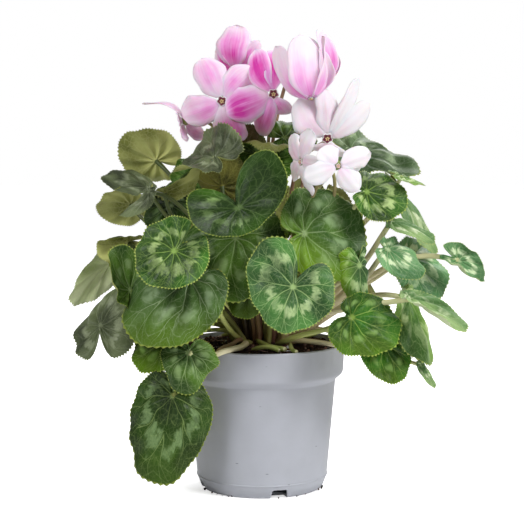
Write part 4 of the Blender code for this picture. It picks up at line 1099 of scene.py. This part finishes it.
def makeEye(s, mouth, axes):
    # a shallow star-edged dish with five anthers and a style
    g = eyeShape
    spokes, circles, block = g["spokes"], g["circles"], g["spokes"] * g["circles"]
    around, out = allRound(spokes), np.linspace(0.05, 1, circles)[:, None]
    radius = g["radius"] * s["eye"] * (1 + g["star"] * np.cos(5 * around + math.radians(5 * s["roll"])))
    x, y = out * radius * np.cos(around), out * radius * np.sin(around)
    dish = np.stack([x, y, 0.9 * out ** 2 + 0 * around - 0.3], -1)
    back = dish - np.array([0, 0, g["depth"]])
    points = [*dish.reshape(-1, 3), *back.reshape(-1, 3)]
    last = block - spokes
    faces = gridFaces(circles, spokes) + gridFaces(circles, spokes, block, flip=True)
    faces += bridge(last, block + last, spokes)
    faces += [tuple(range(spokes)), tuple(range(block, block + spokes))[::-1]]
    tint = [*(np.repeat(0.35 + 0.65 * out.ravel() ** 1.6, spokes))] * 2
    rods = [(upwards * 0.1, np.array([0.1, 0, 2.2]), g["style"], 0.3)]
    for k in range(5):
        a = math.radians(s["roll"] + 36 + 72 * k)
        across = np.array([math.cos(a), math.sin(a), 0])
        rods.insert(k, (across * 0.75 + upwards * 0.1, across * 1.3 + upwards * 1.5, g["anther"], 0.0))
    for start, end, radii, tone in rods:
        line = start + (end - start) * np.linspace(0, 1, len(radii))[:, None]
        rod = tubeRings(line, radii, g["rodSides"], np.array([1.0, 0.3, 0])).reshape(-1, 3)
        joinMore(points, faces, rod, closedGrid(len(radii), g["rodSides"]))
        tint += [tone] * len(rod)
    placed = placeAt(mouth, axes, np.array(points) * s["eye"] ** 0.5)
    return placed, faces, [eyeMaterials[s["eyeKind"]]], {"tint": tint}


def makeFlower(name, s, seed):
    centres = stalkCentres("flower_" + name)
    axes = facingFrame(s["face"], 0)
    mouth = centres[-1] + axes[2] * petalGrid["mouthOut"]
    parts = {
        "petals": makePetals(s, seed, mouth, axes),
        "flower_stalk": makeFlowerStalk(s, seed, mouth, axes, centres),
        "eye": makeEye(s, mouth, axes),
    }
    for part, made in parts.items():
        settle(addPiece(f"{name}_{part}", *made), "petal_" + s["kind"], "flower_" + name)


for number, (name, shape) in enumerate(flowerShapes.items()):
    makeFlower(name, shape, number + 1)
print("flowers", len(flowerShapes))

potSettings = {
    "sides": 160,
    "height": 106.0,
    "rim": 60.0,
    "collarFoot": 58.9,
    "collar": 25.0,
    "bodyTop": 53.4,
    "bodyFoot": 47.2,
    "footHeight": 9.0,
    "foot": 43.0,
    "floor": 2.0,
    "wall": 1.2,
    "notches": 4,
    "notchWidth": 12.0,
    "notchTop": 6.5,
    "notchTurn": 16.0,
    "greys": ("#a6a8b0", "#b5b8c1"),
    "scuff": "#5d5f66",
}


def potPlastic(s):
    # injection-moulded polypropylene: smooth and satiny, with faint cloudy flow, dust and short scuffs;
    # its grain is under 0.1 mm and is drawn at 0.4 mm, clouds are 17 mm and scuffs one in each 26 mm
    gloss = {"IOR": 1.49, "Coat Weight": 0.05, "Coat Roughness": 0.3}
    material, tree = newMaterial("mouldedPolypropylene", gloss)
    sized = inMillimetres(tree)
    x, y, z = addNode(tree, "SeparateXYZ", (sized,))
    grain = addNode(tree, "TexNoise", {"Vector": sized, "Scale": 2.5, "Detail": 2.0})["Fac"]
    dust = addNode(tree, "TexNoise", {"Vector": sized, "Scale": 0.06, "Detail": 4.0})["Fac"]
    # a scuff is drawn out sideways, as pots rub on a tray
    raised = addNode(tree, "Math", (z, 3.5), operation="MULTIPLY")[0]
    flattened = addNode(tree, "CombineXYZ", (x, y, raised))[0]
    voronoi = {"Vector": flattened, "Scale": 0.038, "Randomness": 1.0}
    away = addNode(tree, "TexVoronoi", voronoi)["Distance"]
    scuff = addNode(tree, "MapRange", (away, 0.03, 0.055, 0.7, 0.0), interpolation_type="SMOOTHSTEP")[0]
    low, high = s["greys"]
    tone = addNode(tree, "Mix", {0: dust, 6: low, 7: high}, data_type="RGBA")[2]
    tone = addNode(tree, "Mix", {0: scuff, 6: tone, 7: s["scuff"]}, data_type="RGBA")[2]
    return dressSkin(material, tone, grain, 0.03, 0.4, (dust, 0.38, 0.5))


def potProfile(s):
    # radius and height, from the middle of the foot up the outside, over the lip and down the inside
    foot, step, bodyFoot, bodyTop = s["foot"], s["footHeight"], s["bodyFoot"], s["bodyTop"]
    collarFoot, rim, height, wall = s["collarFoot"], s["rim"], s["height"], s["wall"]
    low = height - s["collar"]
    profile = [(0.01, 0.0), (foot - 1.5, 0.0), (foot, 0.25), (foot + 1.2, 1.0), (bodyFoot - 0.9, step - 2.6),
               (bodyFoot - 0.25, step - 0.9), (bodyFoot, step), (bodyFoot + 0.4, step + 0.3),
               (bodyFoot + 0.45, step + 0.8), (bodyFoot + 0.1, step + 1.2)]
    profile += [(bodyFoot + (bodyTop - bodyFoot) * t, step + (low - 2 - step) * t)
                for t in np.linspace(0.08, 1, 8)]
    # the collar swells out over a slope as high as it is deep
    profile += [(bodyTop + 0.2, low - 1.2), (bodyTop + 0.9, low - 0.4), (collarFoot - 1.3, low + 2.6),
                (collarFoot - 0.4, low + 3.6), (collarFoot - 0.05, low + 4.6)]
    profile += [(collarFoot + (rim - 0.2 - collarFoot) * t, low + s["collar"] * t)
                for t in (0.25, 0.5, 0.75, 0.94)]
    profile += [(rim, height - 1.2), (rim - 0.1, height - 0.5), (rim - 0.45, height - 0.08),
                (rim - 0.8, height), (rim - 1.1, height - 0.2), (rim - 1.3, height - 0.7)]
    inside = [(collarFoot - wall, low + 3), (collarFoot - 2 - wall, low + 1), (bodyTop - wall, low - 1),
              (bodyFoot - wall, step), (foot, s["floor"]), (0.01, s["floor"])]
    return profile + inside


def makePot():
    s = potSettings
    profile = potProfile(s)
    points = turnedGrid(profile, s["sides"]).reshape(-1, 3)
    faces = outward(points, closedGrid(len(profile), s["sides"]))
    pot = addPiece("pot_shell", points, faces, [potPlastic(s)])
    # drain notches in the foot's ring, each narrower towards its rounded top
    half, top = s["notchWidth"] / 2, s["notchTop"]
    outline = ((-half - 1, -5), (half + 1, -5), (half - 0.6, top - 0.8), (half - 1.6, top),
               (-half + 1.6, top), (-half + 0.6, top - 0.8))
    points, faces = [], []
    for k in range(s["notches"]):
        out = direction(s["notchTurn"] + 360 / s["notches"] * k, 0)
        side = np.array([-out[1], out[0], 0])
        block = [out * reach + side * across + upwards * z
                 for reach in (s["foot"] - 9, s["bodyFoot"] + 4) for across, z in outline]
        joinMore(points, faces, block, closedGrid(2, len(outline)))
    cutter = addPiece("notchCutter", points, faces, [], smooth=False)
    cut = pot.modifiers.new("notches", "BOOLEAN")
    cut.operation, cut.solver, cut.object = "DIFFERENCE", "EXACT", cutter
    done = bpy.data.meshes.new_from_object(pot.evaluated_get(bpy.context.evaluated_depsgraph_get()))
    pot.modifiers.clear()
    pot.data = done
    bpy.data.objects.remove(cutter)
    done.set_sharp_from_angle(angle=math.radians(38))
    settle(pot, "pot_plastic", "pot")


makePot()
print("pot")

soilSettings = {
    "sides": 150,
    "circles": 52,
    "edge": 58.0,
    "atWall": 101.5,
    "atCorm": 105.3,
    "underside": 96.0,
    "moundFrom": 24,  # the radius where the slope down from the corm begins
    "waves": ((17, 0.7), (9, 0.5), (5, 0.45), (3, 0.4), (2.1, 0.35)),  # length and height
    "crumbs": 520,
    "fallen": 44,
    "crumbSizes": (0.5, 2.0),
    "crumbRing": (16, 57),  # lying between these radii
    "crumbTint": (0.3, 0.22),  # how brown, and how unevenly so
    "fibres": 150,
    "fibreRing": (20, 55),
    "fibreLimit": 56.5,
    "fibreTint": (0.62, 0.2),
    "fibreLengths": (5, 16),
    "fibreRadii": (0.12, 0.3, 0.36, 0.36, 0.34, 0.26, 0.1),
    # cut stalks left lying: where each starts and ends, and how thick it is
    "stubs": (((-4, -16, 109.5), (16, -47, 107.5), 1.9), ((-7, -42, 106.5), (12, -50, 107.0), 1.7),
              ((20, -30, 109.0), (24, -52, 106.5), 1.5), ((-30, 18, 107.5), (-8, 44, 106.5), 1.6),
              ((26, 22, 107.5), (40, 38, 105.8), 1.5)),
    "stubTaper": (0.5, 0.9, 1, 1, 1, 1, 1.02, 1.0, 0.86),
}


def peat():
    # damp peat and composted bark, milled: near black and matt, flecked with brown; crumbs of 2 mm and
    # grit of 0.8 mm are drawn as they are
    material, tree = newMaterial("dampPeat", {"IOR": 1.45, "Roughness": 0.95, "Specular IOR Level": 0.25})
    sized = inMillimetres(tree)
    coarse = addNode(tree, "TexNoise", {"Vector": sized, "Scale": 0.5, "Detail": 5.0, "Roughness": 0.7})
    grit = addNode(tree, "TexVoronoi", {"Vector": sized, "Scale": 1.3})["Distance"]
    at = {"coarse": coarse["Fac"], "tint": addNode(tree, "Attribute", attribute_name="tint")["Fac"]}
    addChain(tree, at, (("shifted", "-", ("*+", "coarse", 0.45, "tint"), 0.22),))
    stops = ((0.0, "#1a120d"), (0.3, "#38271f"), (0.55, "#68493c"), (0.78, "#a07e74"), (1.0, "#cdb1ab"))
    tone = addNode(tree, "ValToRGB", (at["shifted"],), stops=stops)[0]
    return dressSkin(material, tone, grit, 0.6, 0.8)


def heightOfSoil(radius):
    # mounded from the wall up to the corm
    s, inner = soilSettings, soilSettings["moundFrom"]
    down = np.clip((radius - inner) / (s["edge"] - inner), 0, 1) ** 1.3
    return s["atCorm"] + (s["atWall"] - s["atCorm"]) * down


def makeSoil(s, draw, skin):
    sides, rows = s["sides"], s["circles"]
    turns = allRound(sides)
    out = np.linspace(0.5, s["edge"], rows)[:, None]
    x, y = out * np.cos(turns), out * np.sin(turns)
    z = heightOfSoil(out) + 0 * x
    for period, height in s["waves"]:
        for k in range(5):
            a = draw.uniform(0, math.pi)
            place = x * math.cos(a) + y * math.sin(a)
            z = z + height * 0.5 * np.sin(place * fullTurn / period * draw.uniform(0.8, 1.2) + anyPhase(draw))
    top = np.stack([x, y, z], -1)
    foot = np.stack([x[-1], y[-1], np.full(sides, s["underside"])], -1)
    points = [*top.reshape(-1, 3), *foot]
    tint = [0.12 + 0.1 * v for v in draw.random(len(points))]
    faces = outward(points, closedGrid(rows + 1, sides))
    settle(addPiece("potting_soil", points, faces, [skin], {"tint": tint}), "potting_soil", "soil")


def onRing(draw, inner, outer):
    # a radius that spreads things evenly over a ring
    return math.sqrt(draw.uniform(inner ** 2, outer ** 2))


def makeCrumbs(s, draw, skin):
    # small lumps of peat and bark lying on the soil: each a rounded block pushed out of shape
    build = bmesh.new()
    for x, y, z in np.ndindex(3, 3, 3):
        if (x, y, z) != (1, 1, 1):
            build.verts.new(unit(np.array([x - 1, y - 1, z - 1], float)))
    bmesh.ops.convex_hull(build, input=build.verts)
    build.verts.index_update()
    shape = np.array([v.co for v in build.verts])
    shapeFaces = [tuple(v.index for v in f.verts) for f in build.faces]
    build.free()
    points, faces, tint = [], [], []
    for k in range(s["crumbs"] + s["fallen"]):
        radius = onRing(draw, *s["crumbRing"])
        a = draw.uniform(0, fullTurn)
        size = draw.uniform(*s["crumbSizes"]) * draw.uniform(0.5, 1)
        rest = heightOfSoil(radius)
        if k >= s["crumbs"]:
            # a few have washed out and lie round the foot
            radius, size = potSettings["foot"] + draw.uniform(0.5, 2.6), size * 0.6
        turn = np.linalg.qr(draw.normal(size=(3, 3)))[0]
        lump = shape * draw.uniform(0.6, 1.2, (len(shape), 1))
        lump = lump @ np.diag(draw.uniform(0.6, 1.5, 3)) @ turn * size
        rest = rest + size * 0.4 if k < s["crumbs"] else 0.05 - lump[:, 2].min()
        place = np.array([radius * math.cos(a), radius * math.sin(a), rest])
        joinMore(points, faces, lump + place, shapeFaces)
        tint += [float(np.clip(draw.normal(*s["crumbTint"]), 0, 1))] * len(shape)
    settle(addPiece("soil_crumbs", points, faces, [skin], {"tint": tint}, smooth=False), "potting_soil")


def makeFibres(s, draw, skin):
    points, faces, tint = [], [], []
    radii, sides = np.array(s["fibreRadii"]), 6
    count = len(radii)
    t = np.linspace(0, 1, count)
    for k in range(s["fibres"]):
        radius = onRing(draw, *s["fibreRing"])
        a, heading = draw.uniform(0, fullTurn, 2)
        length, bend = draw.uniform(*s["fibreLengths"]), draw.normal() * 0.9
        turning = heading + bend * t
        line = np.stack([np.cos(turning), np.sin(turning), 0 * t], -1) * length / (count - 1)
        line = np.cumsum(line, 0)
        line = line - line.mean(0) + np.array([radius * math.cos(a), radius * math.sin(a), 0])
        # held inside the pot's wall
        reach = np.hypot(line[:, 0], line[:, 1])
        line = line * np.minimum(1, s["fibreLimit"] / reach)[:, None]
        line[:, 2] = heightOfSoil(np.minimum(reach, 57)) + 0.9 + draw.uniform(0, 1.2) * np.sin(math.pi * t)
        tube = tubeRings(line, radii * draw.uniform(0.6, 1.3), sides, upwards).reshape(-1, 3)
        joinMore(points, faces, tube, closedGrid(count, sides))
        tint += [float(np.clip(draw.normal(*s["fibreTint"]), 0, 1))] * len(tube)
    settle(addPiece("soil_fibres", points, faces, [skin], {"tint": tint}), "potting_soil")


def makeStubs(s):
    # stalks that were cut off and lie where they fell, each with flat pale ends
    points, faces, faceSlots, along = [], [], [], []
    taper, sides = np.array(s["stubTaper"]), 12
    count = len(taper)
    t = np.linspace(0, 1, count)[:, None]
    for number, (start, end, radius) in enumerate(s["stubs"]):
        line = np.array(start) + (np.array(end, float) - np.array(start)) * t
        line = line + np.array([1.5, 0.6, 2.2]) * np.sin(math.pi * t) * (1 if number % 2 else -0.6)
        tube = tubeRings(line, radius * taper, sides, upwards).reshape(-1, 3)
        joinMore(points, faces, tube, closedGrid(count, sides))
        faceSlots += [0] * (count - 1) * sides + [1, 1]
        along += [*stalkAttribute(count, sides, 0.25, 0.75, 1 / 3, number * 5.1)]
    skins = [stalkMaterials["green"], stalkMaterials["cream"]]
    settle(addPiece("stalk_stubs", points, faces, skins, {"along": along}, faceSlots), "leaf_blade")


peatSkin = peat()
soilDraw = np.random.default_rng(41)
for makeLayer in (makeSoil, makeCrumbs, makeFibres):
    makeLayer(soilSettings, soilDraw, peatSkin)
makeStubs(soilSettings)

cormShape = {
    "sides": 72,
    "profile": ((0.05, 81.0), (15, 81.0), (22, 86), (23.6, 94), (23.9, 101), (23, 104.6), (20.5, 106.3),
                (16, 107.0), (9, 107.2), (0.05, 107.2)),
    "waves": 8,
    "waveHeight": 0.16,
    "shows": 100,  # only above this height does it show over the soil
    "browns": ((0.3, "#2a1a14"), (0.55, "#5a4034"), (0.75, "#8a6a5c")),
}


def makeCorm():
    # half-buried corm, a squat knob of cork: dull and rough, its cracks 3 mm apart
    s = cormShape
    material, tree = newMaterial("corkyCormSkin", {"IOR": 1.45, "Roughness": 0.85})
    cork = {"Vector": inMillimetres(tree), "Scale": 0.35, "Detail": 5.0, "Roughness": 0.7}
    bark = addNode(tree, "TexNoise", cork)["Fac"]
    dressSkin(material, addNode(tree, "ValToRGB", (bark,), stops=s["browns"])[0], bark, 0.8, 0.8)
    draw = np.random.default_rng(5)
    grid = turnedGrid(s["profile"], s["sides"])
    for k in range(s["waves"]):
        a = draw.uniform(0, math.pi)
        place = grid[..., 0] * math.cos(a) + grid[..., 1] * math.sin(a)
        wave = s["waveHeight"] * np.sin(place * draw.uniform(0.7, 1.6) + k)
        grid[..., 2] += wave * (grid[..., 2] > s["shows"])
    points = grid.reshape(-1, 3)
    faces = outward(points, closedGrid(len(s["profile"]), s["sides"]))
    settle(addPiece("corm_body", points, faces, [material]), "corm_skin", "corm")


makeCorm()
print("soil and corm")

sizes = {"cad": [list(corner) for corner in cadBox], "visual": [list(corner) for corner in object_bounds()]}
